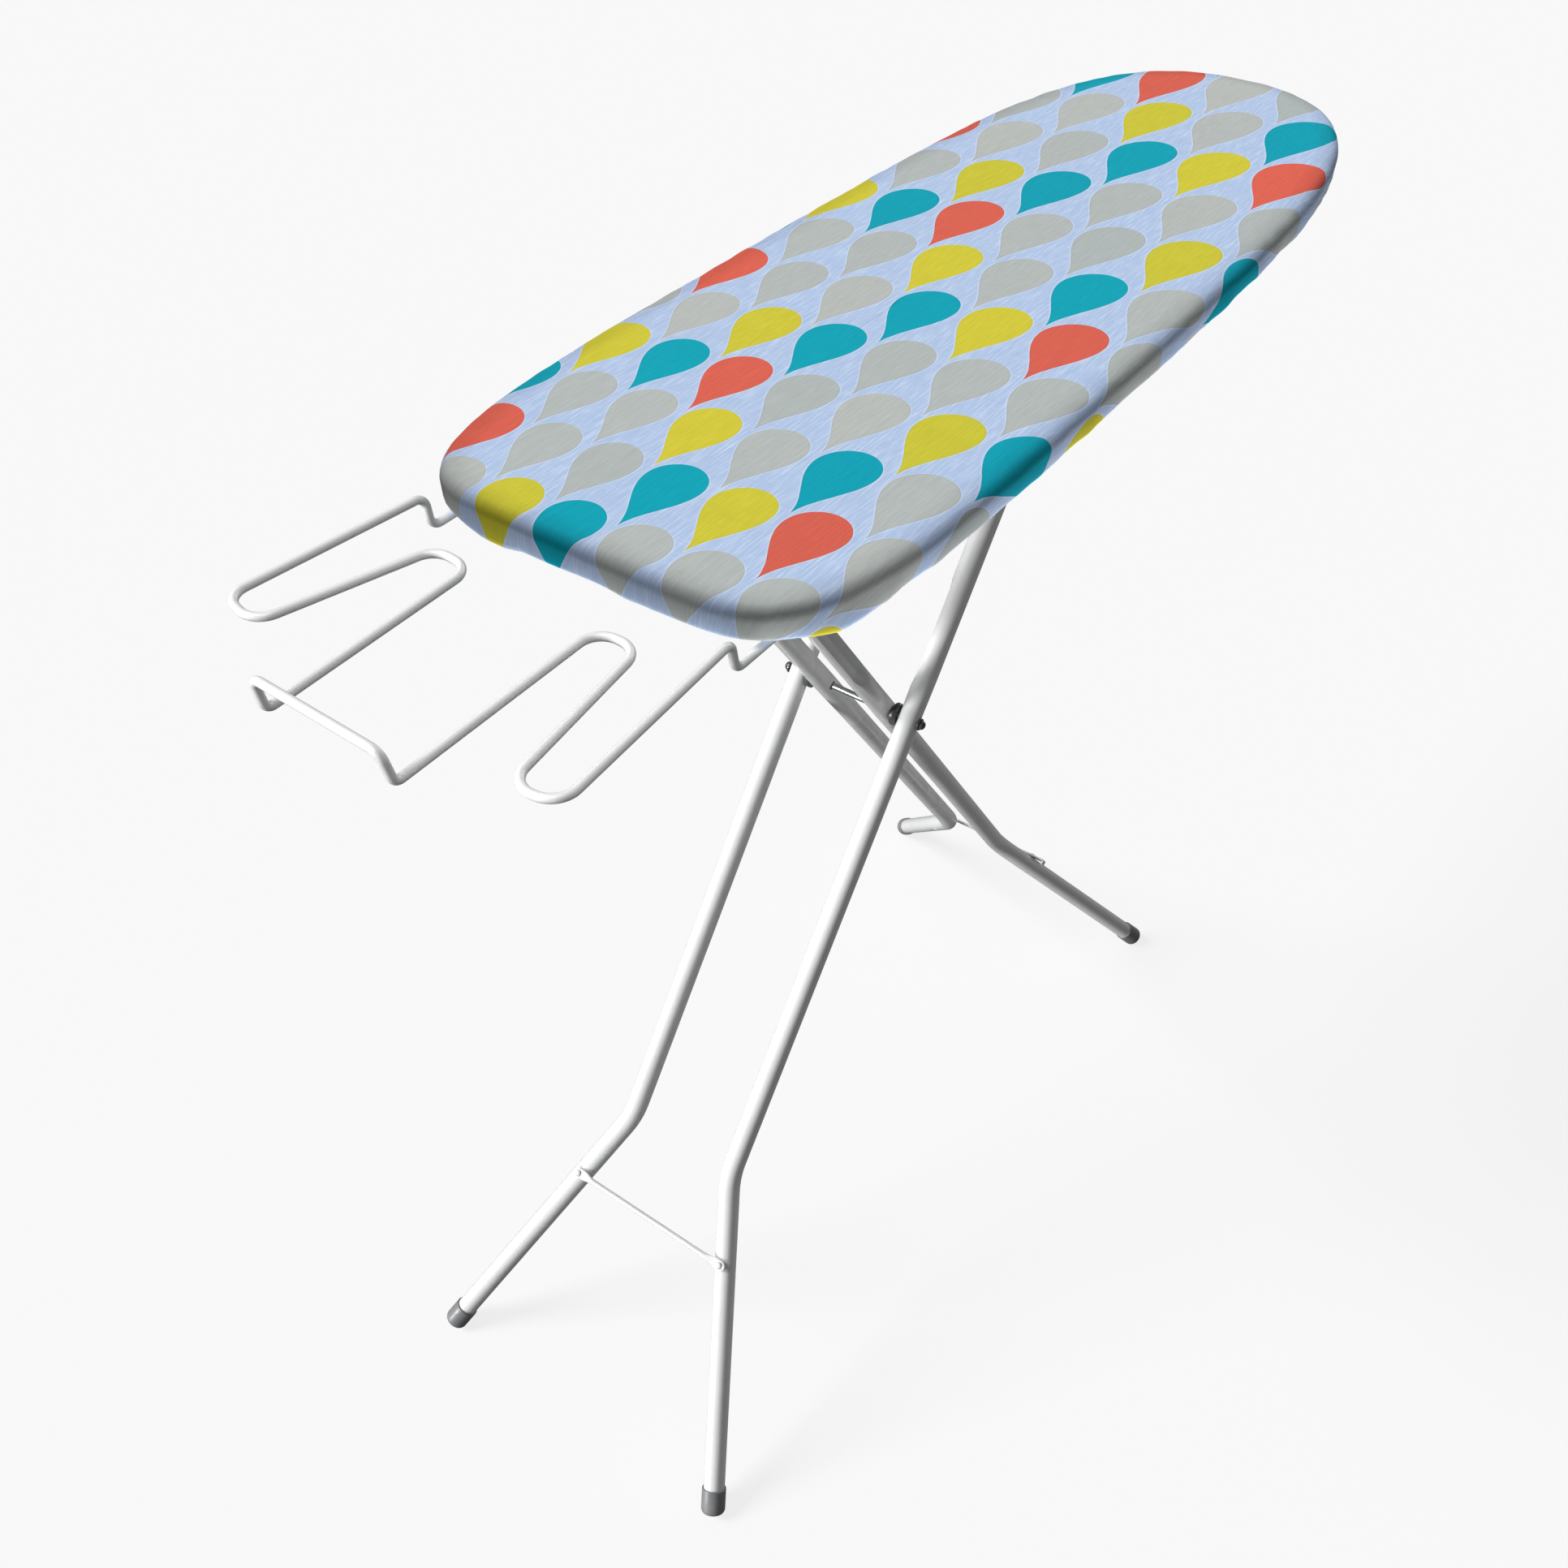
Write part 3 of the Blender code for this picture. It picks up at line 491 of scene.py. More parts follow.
def sweep(name, route, section, sides=32, closed=False, caps=True, up=Vector((0, 1, 0))):
    """A mesh swept along a route. section(distance, angle) gives the radius there; the angle starts at up."""
    count = len(route)
    points, distance, normal = [], 0.0, up
    for i, at in enumerate(route):
        ahead = route[(i + 1) % count] if closed or i + 1 < count else at
        behind = route[i - 1] if closed or i else at
        run = (ahead - behind).normalized()
        normal = (normal - run * normal.dot(run)).normalized()
        side = run.cross(normal)
        distance += (at - route[i - 1]).length if i else 0.0
        for j in range(sides):
            turn = 2 * pi * j / sides
            points.append(at + (normal * cos(turn) + side * sin(turn)) * section(distance, turn))
    faces = [face[::-1] for face in ring_faces(count, sides, closed)]
    if caps and not closed:
        faces.append(tuple(range(sides))[::-1])
        faces.append(tuple((count - 1) * sides + j for j in range(sides)))
    return mesh_of(name, points, faces)


def ring_faces(rings, count, closed=False):
    """Faces between rings of the same number of points. Closed joins the last ring to the first."""
    faces = []
    for ring in range(rings if closed else rings - 1):
        a, b = ring * count, (ring + 1) % rings * count
        for i in range(count):
            j = (i + 1) % count
            faces.append((a + j, a + i, b + i, b + j))
    return faces


def turned(name, profile, origin, direction, steps=64):
    """A turned mesh: (radius, height) points from top to bottom about an axis through the origin."""
    turn = Vector(direction).to_track_quat("Z", "Y").to_matrix()
    ring = profile[0][0] > 0
    points, rows = [], []
    for radius, height in profile:
        if radius == 0:
            rows.append([len(points)] * steps)
            points.append(origin + turn @ Vector((0, 0, height)))
            continue
        rows.append([len(points) + i for i in range(steps)])
        for i in range(steps):
            angle = 2 * pi * i / steps
            points.append(origin + turn @ Vector((radius * cos(angle), radius * sin(angle), height)))
    faces = []
    for upper, lower in zip(rows, rows[1:] + ([rows[0]] if ring else [])):
        for i in range(steps):
            j = (i + 1) % steps
            face = []
            for index in (upper[i], lower[i], lower[j], upper[j]):
                if index not in face:
                    face.append(index)
            if len(face) > 2:
                faces.append(face)
    return mesh_of(name, points, faces)


def arc(centre, radius, start, end, count):
    """Points of a profile's round corner, as (radius, height)."""
    return [
        (centre[0] + radius * cos(radians(start + (end - start) * i / count)),
         centre[1] + radius * sin(radians(start + (end - start) * i / count)))
        for i in range(count + 1)
    ]


def add_bevel(obj, width, segments=3):
    edge = obj.modifiers.new("edges", "BEVEL")
    edge.width = width
    edge.segments = segments
    edge.limit_method = "ANGLE"
    edge.angle_limit = SHARP_ANGLE
    edge.harden_normals = False
    return obj


# -------- board outline

OUTLINE_POINTS = 360


def outline(inset=0.0, steps=60):
    """The board's edge from above, moved inwards by an inset. Negative insets move it out."""
    half = []
    for i in range(steps):
        turn = i / steps * pi / 2
        along = HEEL_X + HEEL_CURVE * (1 - cos(turn) ** (2 / HEEL_POWER))
        half.append((along, HALF_WIDTH * sin(turn) ** (2 / HEEL_POWER)))
    for i in range(steps - 1, -1, -1):
        turn = i / steps * pi / 2
        along = NOSE_START_X + (NOSE_X - NOSE_START_X) * cos(turn) ** (2 / NOSE_POWER_X)
        half.append((along, HALF_WIDTH * sin(turn) ** (2 / NOSE_POWER_Y)))
    edge = even_steps([Vector(p) for p in half + [(x, -y) for x, y in half[-2:0:-1]]], OUTLINE_POINTS)
    moved = []
    for i, point in enumerate(edge):
        run = (edge[(i + 1) % len(edge)] - edge[i - 1]).normalized()
        moved.append(point + Vector((run.y, -run.x)) * inset)
    return moved


def even_steps(loop, count):
    """The same closed loop with evenly spaced points."""
    lengths = [(b - a).length for a, b in zip(loop, loop[1:] + loop[:1])]
    spacing = sum(lengths) / count
    points, reached, i = [], 0.0, 0
    for k in range(count):
        target = k * spacing
        while reached + lengths[i] < target:
            reached += lengths[i]
            i += 1
        points.append(loop[i].lerp(loop[(i + 1) % len(loop)], (target - reached) / lengths[i]))
    return points


# -------- cover, pad, elastic

COVER_ROUND = 0.0090
HEM_ROUND = 0.0045
HEM_WIDTH = 0.026
TOP_RINGS = 34
FIRST_RING = 4
SPINE_ENDS = (0.16, 0.19)  # how far the spine's ends are from the heel and from the nose
CLOTH_THICKNESS = 0.0006
TOP_WAVE = 0.0005
# The hem's lumps: their size, what the heel adds, how far from it, over what fade, and their push outwards
HEM_LUMP, HEEL_LUMP = 0.0016, 0.0030
HEEL_PART, HEEL_FADE = 0.16, 0.10
LUMP_OUT = 0.6
FELT_INSET = 0.0075
CORD_RADIUS, CORD_LIFT = 0.0019, 0.0034
SIM_FRAMES = 24
PUCKER = 0.0035
CLOTH_SETTINGS = {"quality": 6, "mass": 0.15, "tension_stiffness": 25, "compression_stiffness": 25,
                  "shear_stiffness": 8, "bending_stiffness": 0.6}


def wrap_profile():
    """The cover's edge in section, as (inset, height, distance along the cloth) from the top to the hem."""
    top = arc((-COVER_ROUND, TOP_Z - COVER_ROUND), COVER_ROUND, 90, 0, 7)
    low = arc((-HEM_ROUND, SKIRT_Z + HEM_ROUND), HEM_ROUND, 0, -90, 5)
    hem = [(-HEM_ROUND - (HEM_WIDTH - HEM_ROUND) * i / 5, SKIRT_Z) for i in range(1, 6)]
    section = [(-r, z) for r, z in top + [(0.0, (top[-1][1] + low[0][1]) / 2)] + low + hem]
    steps = [0.0]
    for (r0, z0), (r1, z1) in zip(section, section[1:]):
        steps.append(steps[-1] + ((r1 - r0) ** 2 + (z1 - z0) ** 2) ** 0.5)
    return [(inset, height, run) for (inset, height), run in zip(section, steps)]


def spine(point):
    """Where a ring point comes to as the rings shrink onto the board's centre line."""
    from_heel, from_nose = SPINE_ENDS
    return Vector((min(max(point.x, HEEL_X + from_heel), NOSE_X - from_nose), 0.0))


def cover_mesh(name):
    """The cover as rings from the centre line out to the edge, over it and in under the rim.

    Gives the mesh, where each point lies on the flat cloth, and the number of rings. The attribute edge_run
    holds the distance along the cloth from where it leaves the flat top.
    """
    profile = wrap_profile()
    edge = outline(COVER_ROUND)
    shares = [i / TOP_RINGS for i in range(FIRST_RING, TOP_RINGS)]
    rings = [[(spine(p).lerp(p, share), TOP_Z) for p in edge] for share in shares]
    flats = [[at for at, _ in ring] for ring in rings]
    runs = [[(p - spine(p)).length * (share - 1) for p in edge] for share in shares]
    for inset, height, run in profile:
        rings.append([(p, height) for p in outline(inset)])
        flats.append(outline(COVER_ROUND - run))
        runs.append([run] * OUTLINE_POINTS)
    points = [(p.x, p.y, z) for ring in rings for p, z in ring]
    flat = [p for ring in flats for p in ring]
    mesh = mesh_of(name, points, ring_faces(len(rings), OUTLINE_POINTS) + [tuple(range(OUTLINE_POINTS))])
    distance = mesh.attributes.new("edge_run", "FLOAT", "POINT")
    distance.data.foreach_set("value", [run for ring in runs for run in ring])
    return mesh, flat, len(rings)


def write_uv(mesh, flat):
    """Store each point's place on the flat cloth, in metres."""
    layer = mesh.uv_layers.new(name="flat_cut")
    for loop in mesh.loops:
        layer.data[loop.index].uv = flat[loop.vertex_index]


def pucker(obj, flat, rings):
    """Let the cloth find its own small folds: it keeps the lengths of the flat cut, gathered by the hem.

    The flat top and the hem's inner edge are held, and no point moves more than PUCKER.
    """
    count = OUTLINE_POINTS
    scene = bpy.context.scene
    start = np.array([v.co[:] for v in obj.data.vertices])
    rest = obj.shape_key_add(name="Basis")
    cut = obj.shape_key_add(name="flat")
    for key_point, at in zip(cut.data, flat):
        key_point.co = (at.x, at.y, TOP_Z)
    hold = obj.vertex_groups.new(name="hold")
    free_from = (rings - len(wrap_profile()) - 1) * count
    hold.add(list(range(free_from)), 1.0, "REPLACE")
    hold.add(list(range((rings - 1) * count, rings * count)), 1.0, "REPLACE")
    for i in range(free_from, (rings - 1) * count):
        rest.data[i].co = Vector(start[i]) + noise.noise_vector(Vector(start[i]) * 55.0) * 0.0006
    cloth = obj.modifiers.new("cloth", "CLOTH")
    for key, value in CLOTH_SETTINGS.items():
        setattr(cloth.settings, key, value)
    cloth.settings.vertex_group_mass = "hold"
    cloth.settings.rest_shape_key = cut
    cloth.settings.effector_weights.gravity = 0.0
    cloth.point_cache.frame_start = 1
    cloth.point_cache.frame_end = SIM_FRAMES
    for number in range(1, SIM_FRAMES + 1):
        scene.frame_set(number)
    graph = bpy.context.evaluated_depsgraph_get()
    moved = obj.evaluated_get(graph).to_mesh()
    end = np.array([v.co[:] for v in moved.vertices])
    scene.frame_set(1)
    obj.modifiers.remove(cloth)
    obj.shape_key_clear()
    obj.vertex_groups.clear()
    step = end - start
    size = np.linalg.norm(step, axis=1)
    step *= (np.minimum(size, PUCKER) / np.maximum(size, 1e-9))[:, None]
    for vertex, at in zip(obj.data.vertices, start + step):
        vertex.co = at


def cover():
    """The printed cover, and the width, length and area of the flat cloth it is cut from."""
    mesh, flat, rings = cover_mesh("cotton_cover")
    write_uv(mesh, flat)
    obj = new_piece("cotton_cover", mesh, COTTON, "board", "fabric_cover", 60)
    pucker(obj, flat, rings)
    crease(obj)
    thicken(obj, CLOTH_THICKNESS)
    low = [min(p[i] for p in flat) for i in (0, 1)]
    high = [max(p[i] for p in flat) for i in (0, 1)]
    area = 0.0
    hem = flat[-OUTLINE_POINTS:]
    for a, b in zip(hem, hem[1:] + hem[:1]):
        area += (a.x * b.y - b.x * a.y) / 2
    return obj, (high[1] - low[1], high[0] - low[0]), abs(area)


def crease(obj):
    """The soft unevenness of the felt below, and a hem that hangs in small lumps, most at the heel."""
    for vertex in obj.data.vertices:
        at = vertex.co
        depth = (TOP_Z - at.z) / (TOP_Z - SKIRT_Z)
        if depth < 0.25:
            at.z += noise.noise(Vector((at.x * 9, at.y * 13, 1.0))) * TOP_WAVE
            continue
        heel = clamped((HEEL_X + HEEL_PART - at.x) / HEEL_FADE)
        share = clamped((depth - 0.45) / 0.55)
        lump = noise.noise(Vector((at.x * 21, at.y * 21, 7.0)))
        lump += 0.4 * noise.noise(Vector((at.x * 55, at.y * 55, 3.0)))
        out = (Vector((at.x, at.y)) - spine(at)).normalized()
        size = (HEM_LUMP + HEEL_LUMP * heel) * share * lump
        at.x += out.x * size * LUMP_OUT
        at.y += out.y * size * LUMP_OUT
        at.z -= max(0.0, size)


def hem_elastic():
    """The braided elastic inside the hem's inner edge."""
    route = [Vector((p.x, p.y, SKIRT_Z + CORD_LIFT)) for p in outline(HEM_WIDTH - 0.003)]

    def braided(distance, turn):
        return CORD_RADIUS + 0.00012 * sin(distance * 2200 + 2 * turn)

    mesh = sweep("hem_elastic_cord", route, braided, 12, closed=True)
    return new_piece("hem_elastic_cord", mesh, BRAID, "board", "hem_elastic")


def felt_pad():
    """Felt with a soft, slightly uneven edge. Its rings are (inset, share of the thickness)."""
    rings = [(0.0, 0.5), (0.0006, 0.22), (0.0022, 0.04), (0.0040, 0.0)]
    thick = PAD_HIGH.z - PAD_LOW.z
    stack = [(FELT_INSET + inset, PAD_HIGH.z - share * thick) for inset, share in rings[::-1]]
    stack += [(FELT_INSET + inset, PAD_LOW.z + share * thick) for inset, share in rings[1:]]
    points = []
    for inset, height in stack:
        for p in outline(inset):
            rough = noise.noise(Vector((p.x * 160, p.y * 160, height * 400))) * 0.0004
            points.append((p.x + rough, p.y + rough, height))
    faces = ring_faces(len(stack), OUTLINE_POINTS)
    faces.append(tuple(range(OUTLINE_POINTS)))
    faces.append(tuple(range(len(points) - OUTLINE_POINTS, len(points)))[::-1])
    mesh = mesh_of("felt_layer", points, faces)
    pad = new_piece("felt_layer", mesh, FELT, "board", "felt_pad")


# -------- steel top

MESH_PITCH = (0.018, 0.0075)
STRAND = 0.0008
MESH_INSET = 0.024
STEEL_STRIP = (0.0066, 0.0300)  # insets of the flat strip's outer and inner edge


def inside_outline(x, y, inset):
    """Whether a point is inside the board's edge by at least an inset, by the outline's own formula."""
    width = HALF_WIDTH
    heel = clamped((HEEL_X + HEEL_CURVE - x) / HEEL_CURVE)
    nose = clamped((x - NOSE_START_X) / (NOSE_X - NOSE_START_X))
    width *= (1 - heel ** HEEL_POWER) ** (1 / HEEL_POWER)
    width *= (1 - nose ** NOSE_POWER_X) ** (1 / NOSE_POWER_Y)
    return abs(y) < width - inset and HEEL_X + inset < x < NOSE_X - inset


def expanded_steel():
    """Diamonds of expanded steel sheet, edged by a flat strip."""
    pitch_x, pitch_y = MESH_PITCH
    grid = bmesh.new()
    points = {}

    def corner(i, j):
        if (i, j) not in points:
            points[i, j] = grid.verts.new((HEEL_X + i * pitch_x / 2, j * pitch_y / 2, PLATE_LOW.z))
        return points[i, j]

    for i in range(int((NOSE_X - HEEL_X) / pitch_x * 2)):
        for j in range(-50, 51):
            if (i + j) % 2:
                continue
            x, y = HEEL_X + (i + 1) * pitch_x / 2, j * pitch_y / 2
            if inside_outline(x, y, MESH_INSET):
                grid.faces.new((corner(i, j), corner(i + 1, j - 1), corner(i + 2, j), corner(i + 1, j + 1)))
    made = bmesh.ops.inset_individual(grid, faces=list(grid.faces), thickness=STRAND, use_even_offset=True)
    strands = set(made["faces"])
    bmesh.ops.delete(grid, geom=[f for f in grid.faces if f not in strands], context="FACES_ONLY")
    mesh = bpy.data.meshes.new("expanded_steel_top")
    grid.to_mesh(mesh)
    grid.free()
    obj = new_piece("expanded_steel_top", mesh, ZINC, "board", "top_plate")
    thicken(obj, PLATE_HIGH.z - PLATE_LOW.z, 1)
    low, high = PLATE_LOW.z - 0.00035, PLATE_HIGH.z + 0.0001
    outer, inner = STEEL_STRIP
    section = ((outer, high), (inner, high), (inner, low), (outer, low))
    strip = [(p.x, p.y, height) for inset, height in section for p in outline(inset)]
    mesh = mesh_of("steel_top_edge", strip, ring_faces(len(section), OUTLINE_POINTS, closed=True))
    new_piece("steel_top_edge", mesh, ZINC, "board")


# -------- legs

TUBE_SIDES = 56
SEAM_AT = 2 * pi * 24 / TUBE_SIDES
SEAM_HEIGHT = 0.012
AXLE_BORE = 0.0043
# Where a tube is pressed flat: the share of its radius that goes, and how far along the tube it reaches
AXLE_FLAT = (0.05, 0.045)
HINGE_FLAT = (0.08, 0.03)
# The dents where the frames nest: from and to along the tube, measured from the axle
DENTS = {"inner": (-2.0, -0.079), "outer": (-0.137, -0.022)}
DENT_DEPTH, DENT_EASE = 0.36, 0.022
GAP = 0.0003  # between a tube and what sits on it


def leg_point(side, leg, z):
    """A point on a leg tube's centre line at a height."""
    y = leg["y"] + (leg["foot_y"] - leg["y"]) * max(0.0, (leg["bend_z"] - z) / (leg["bend_z"] - FOOT_Z))
    slope = abs(LEG_DIRECTION.x / LEG_DIRECTION.z)
    return Vector((PIVOT.x + leg["way"] * (PIVOT.z - z) * slope, side * y, z))


def square_to(leg):
    """The direction square to a leg tube in its swing plane, on its upper side."""
    return Vector((leg["way"] * abs(LEG_DIRECTION.z), 0, abs(LEG_DIRECTION.x)))


def pressed(distance, where, length):
    """How much a tube is pressed flat at a distance along it, from 0 to 1."""
    reach = abs(distance - where) / length
    return 0.0 if reach > 1 else 0.5 + 0.5 * cos(pi * reach)


def dented(turn, middle, depth):
    """A tube's radius, as a share, where one side is pressed flat and a little hollow."""
    off = abs((turn - middle + pi) % (2 * pi) - pi)
    edge = acos(1 - depth) if depth > 0 else 0.0
    if off >= edge:
        return 1.0
    return (1 - depth) / cos(off) - 0.35 * depth * (1 - (off / edge) ** 2)


def leg_tube(kind, side, end, leg):
    """A seam-welded tube: a little flat at its hinge and axle, with a long dent where the frames nest."""
    top_z = leg["top"].z + TUBE_PAST_HINGE * abs(LEG_DIRECTION.z)
    corners = [leg_point(side, leg, z) for z in (top_z, leg["bend_z"], FOOT_Z)]
    route = refine(rounded(corners, [BEND_RADIUS], radians(2)), 0.005)
    axle_at = (corners[0] - leg_point(side, leg, PIVOT.z)).length
    dent_at = 0.0 if (side > 0) == (kind == "inner") else pi
    start, stop = (axle_at + offset for offset in DENTS[kind])

    def radius(distance, turn):
        flat = sum(share * pressed(distance, where, reach)
                   for where, (share, reach) in ((axle_at, AXLE_FLAT), (0.0, HINGE_FLAT)))
        shape = 1 - flat * cos(turn) ** 2 + 0.5 * flat * sin(turn) ** 2
        depth = DENT_DEPTH * eased((distance - start) / DENT_EASE) * eased((stop - distance) / DENT_EASE)
        seam = SEAM_HEIGHT if abs(turn - SEAM_AT) < 0.06 else 0.0
        return TUBE_RADIUS * (shape * dented(turn, dent_at, depth) + seam)

    name = f"{kind}_leg_{end}"
    mesh = sweep(name, route, radius, TUBE_SIDES, caps=False)
    obj = new_piece(name, mesh, PAINT, kind + "_leg", f"{kind}_tube_{end}", 50)
    thicken(obj, TUBE_WALL)
    if kind == "inner":
        drill(obj, leg_point(side, leg, PIVOT.z), AXLE_BORE)


def drill(obj, centre, radius):
    """Cut a cross hole through both walls of a tube."""
    bpy.ops.mesh.primitive_cylinder_add(vertices=32, radius=radius, depth=0.05, location=centre,
                                        rotation=(pi / 2, 0, 0))
    cutter = bpy.context.object
    hole = obj.modifiers.new("hole", "BOOLEAN")
    hole.solver = "EXACT"
    hole.object = cutter
    graph = bpy.context.evaluated_depsgraph_get()
    mesh = bpy.data.meshes.new_from_object(obj.evaluated_get(graph))
    obj.modifiers.clear()
    obj.data = mesh
    bpy.data.objects.remove(cutter)


def foot_cap(kind, side, end, leg):
    """A moulded cap pushed over the tube's end, round at the bottom, with a flat worn on its sole."""
    foot = leg_point(side, leg, FOOT_Z)
    down = (foot - leg_point(side, leg, leg["bend_z"])).normalized()
    body = [(0.0, -0.0003), (0.0102, -0.0003), (0.0102, 0.0170)]
    body += arc((0.0108, 0.0163), 0.0007, 90, 0, 4) + arc((0.0067, -0.0027), 0.0048, 0, -90, 10)
    name = f"{kind}_cap_{end}"
    mesh = turned(name, body + [(0.0, -0.0075)], foot, -down, 64)
    for vertex in mesh.vertices:
        vertex.co.z = max(vertex.co.z, 0.0)
    new_piece(name, mesh, FOOT_PLASTIC, kind + "_leg", f"{kind}_foot_{end}", 30)


def legs():
    """The four tubes and their caps."""
    for kind, leg in (("outer", OUTER), ("inner", INNER)):
        for side, end in SIDES:
            leg_tube(kind, side, end, leg)
            foot_cap(kind, side, end, leg)


def domed_rivet(name, point, direction, reach, body, node):
    """A rivet with a domed head above, finished almost flush below."""
    low, seat = -TUBE_RADIUS - 0.0004, reach + 0.0003
    head = [(0, seat + 0.0016)]
    head += [(0.0033 * sin(radians(a)), seat + 0.0016 * cos(radians(a))) for a in (20, 40, 60, 80, 90)]
    shank = [(0.0020, seat), (0.0020, low + 0.0003), (0.0016, low), (0, low)]
    mesh = turned(name, head + shank, point, direction, 40)
    new_piece(name, mesh, PAINT, body, node, 30)


ROD_Z, STRAP_Z = 0.190, 0.175
ROD_RADIUS = 0.0026
ROD_PAST_RIVET = 0.0066
# The rod's flat ends: half their width, half their thickness, and where they start and are fully flat
EYE_WIDE, EYE_THIN = 0.0050, 0.0013
EYE_FULL, EYE_FROM = 0.012, 0.026
STRAP_REACH, STRAP_LIP = 0.0785, 0.0052
STRAP_HALF, STRAP_SHEET, STRAP_RIB = 0.0078, 0.0018, 0.0008


def brace_rod():
    """The thin rod across the outer frame, flattened and riveted at its ends."""
    over = square_to(OUTER)
    lift = TUBE_RADIUS + 0.0008
    ends = []
    for side, end in SIDES:
        point = leg_point(side, OUTER, ROD_Z)
        domed_rivet("rod_rivet_" + end, point, over, lift + 2 * EYE_THIN, "outer_leg", "brace_rivet_" + end)
        ends.append(point + over * (lift + EYE_THIN))
    run = (ends[1] - ends[0]).normalized() * ROD_PAST_RIVET
    length = (ends[1] - ends[0]).length + 2 * ROD_PAST_RIVET
    route = refine([ends[0] - run, ends[1] + run], 0.0008)

    def flattened(distance, turn):
        near = min(distance, length - distance)
        flat = eased((EYE_FROM - near) / (EYE_FROM - EYE_FULL))
        tip = min(1.0, quarter_round(near / 0.0068) + 0.02)
        wide = ROD_RADIUS + (EYE_WIDE * tip - ROD_RADIUS) * flat
        thin = ROD_RADIUS + (EYE_THIN - ROD_RADIUS) * flat
        return 1 / ((cos(turn) / thin) ** 2 + (sin(turn) / wide) ** 2) ** 0.5

    mesh = sweep("brace_rod", route, flattened, 28, up=over)
    new_piece("brace_rod", mesh, PAINT, "outer_leg", "outer_brace_rod")


def brace_strap():
    """The flat strap across the inner frame, with a rib along its middle and its ends turned down."""
    over = square_to(INNER)
    lift, top = TUBE_RADIUS + GAP, 0.002
    middle = leg_point(1, INNER, STRAP_Z)
    middle = Vector((middle.x, 0, middle.z)) + over * lift
    along = Vector((0, 1, 0))
    across = along.cross(over)
    half = [(1.0, 0), (0.86, 0), (0.42, 0), (0.25, STRAP_RIB)]
    spans = [(-share, rib) for share, rib in half] + half[::-1]
    flat = [(STRAP_REACH * i / 30, 0.0) for i in range(-30, 31)]
    stations = [(-STRAP_REACH, STRAP_LIP)] + flat + [(STRAP_REACH, STRAP_LIP)]
    points = []
    for y, drop in stations:
        narrow = STRAP_HALF * (0.72 + 0.28 * quarter_round((STRAP_REACH - abs(y)) / 0.004))
        raised = clamped((0.046 - abs(y)) / 0.006)
        for share, rib in spans:
            points.append(middle + along * y + across * share * narrow + over * (top + rib * raised - drop))
    width = len(spans)
    starts = [i * width + k for i in range(len(stations) - 1) for k in range(width - 1)]
    mesh = mesh_of("brace_strap", points, [(a, a + 1, a + 1 + width, a + width) for a in starts])
    strap = new_piece("brace_strap", mesh, PAINT, "inner_leg", "inner_brace_strap")
    thicken(strap, STRAP_SHEET)
    add_bevel(strap, 0.0004, 2)
    for side, end in SIDES:
        point = leg_point(side, INNER, STRAP_Z)
        domed_rivet("band_rivet_" + end, point, over, lift + top, "inner_leg", "strap_rivet_" + end)


# Profiles of the axle's parts, as (radius, height from the tube)
AXLE_HOLE = 0.0033
SPACER = arc((0.0081, 0.0032), 0.0022, 90, 0, 6) + arc((0.0095, 0.0008), 0.0008, 0, -90, 4)
SPACER += [(0.0070, 0.0), (0.0066, 0.0006), (AXLE_HOLE, 0.0006)]
SPACER += [(AXLE_HOLE, 0.0048), (0.0066, 0.0048), (0.0070, 0.0054)]
CAP = [(0, 0.0058), (0.0011, 0.00575), (0.0022, 0.0054), (0.0031, 0.0048), (0.0038, 0.0039), (0.0041, 0.0028)]
CAP += [(0.0042, 0.0018), (0.0051, 0.0017), (0.0055, 0.0014), (0.0056, 0.0010), (0.0056, 0.0)]
CAP += [(AXLE_HOLE, 0.0), (AXLE_HOLE, 0.0042), (0, 0.0042)]


def pivot_parts():
    """Spacers between the frames, and the push-on caps outside them."""
    for side, end in SIDES:
        for name, profile, leg in (("spacer", SPACER, INNER), ("axle_cap", CAP, OUTER)):
            at = Vector((PIVOT.x, side * (leg["y"] + TUBE_RADIUS + GAP), PIVOT.z))
            mesh = turned(f"{name}_{end}", profile, at, (0, side, 0), 56)
            node = ("pivot_spacer_" if name == "spacer" else "pivot_cap_") + end
            new_piece(f"{name}_{end}", mesh, GLOSS_NYLON, "outer_leg", node, 30)


# -------- iron rest

WIRE_RADIUS = 0.003
SOCKET_Z, BAR_Z, STOP_Z = 0.939, 0.962, 0.985
# The wire's corners from the left socket round to the right one: x from the axle, y, z and bend radius
REST_CORNERS = (
    (-0.342, 0.1250, SOCKET_Z, 0.008), (-0.343, 0.1270, BAR_Z, 0.008),
    (-0.491, 0.1435, BAR_Z, 0.0157), (-0.499, 0.1105, BAR_Z, 0.0157),
    (-0.382, 0.0785, BAR_Z, 0.0155), (-0.384, 0.0465, BAR_Z, 0.0155),
    (-0.547, 0.0440, BAR_Z, 0.006), (-0.549, 0.0465, STOP_Z, 0.007),
    (-0.552, -0.0530, STOP_Z, 0.007), (-0.548, -0.0550, BAR_Z, 0.006),
    (-0.386, -0.0550, BAR_Z, 0.0155), (-0.386, -0.0870, BAR_Z, 0.0155),
    (-0.515, -0.1035, BAR_Z, 0.0157), (-0.510, -0.1355, BAR_Z, 0.0157),
    (-0.350, -0.1255, BAR_Z, 0.008), (-0.345, -0.1250, SOCKET_Z, 0.008),
)


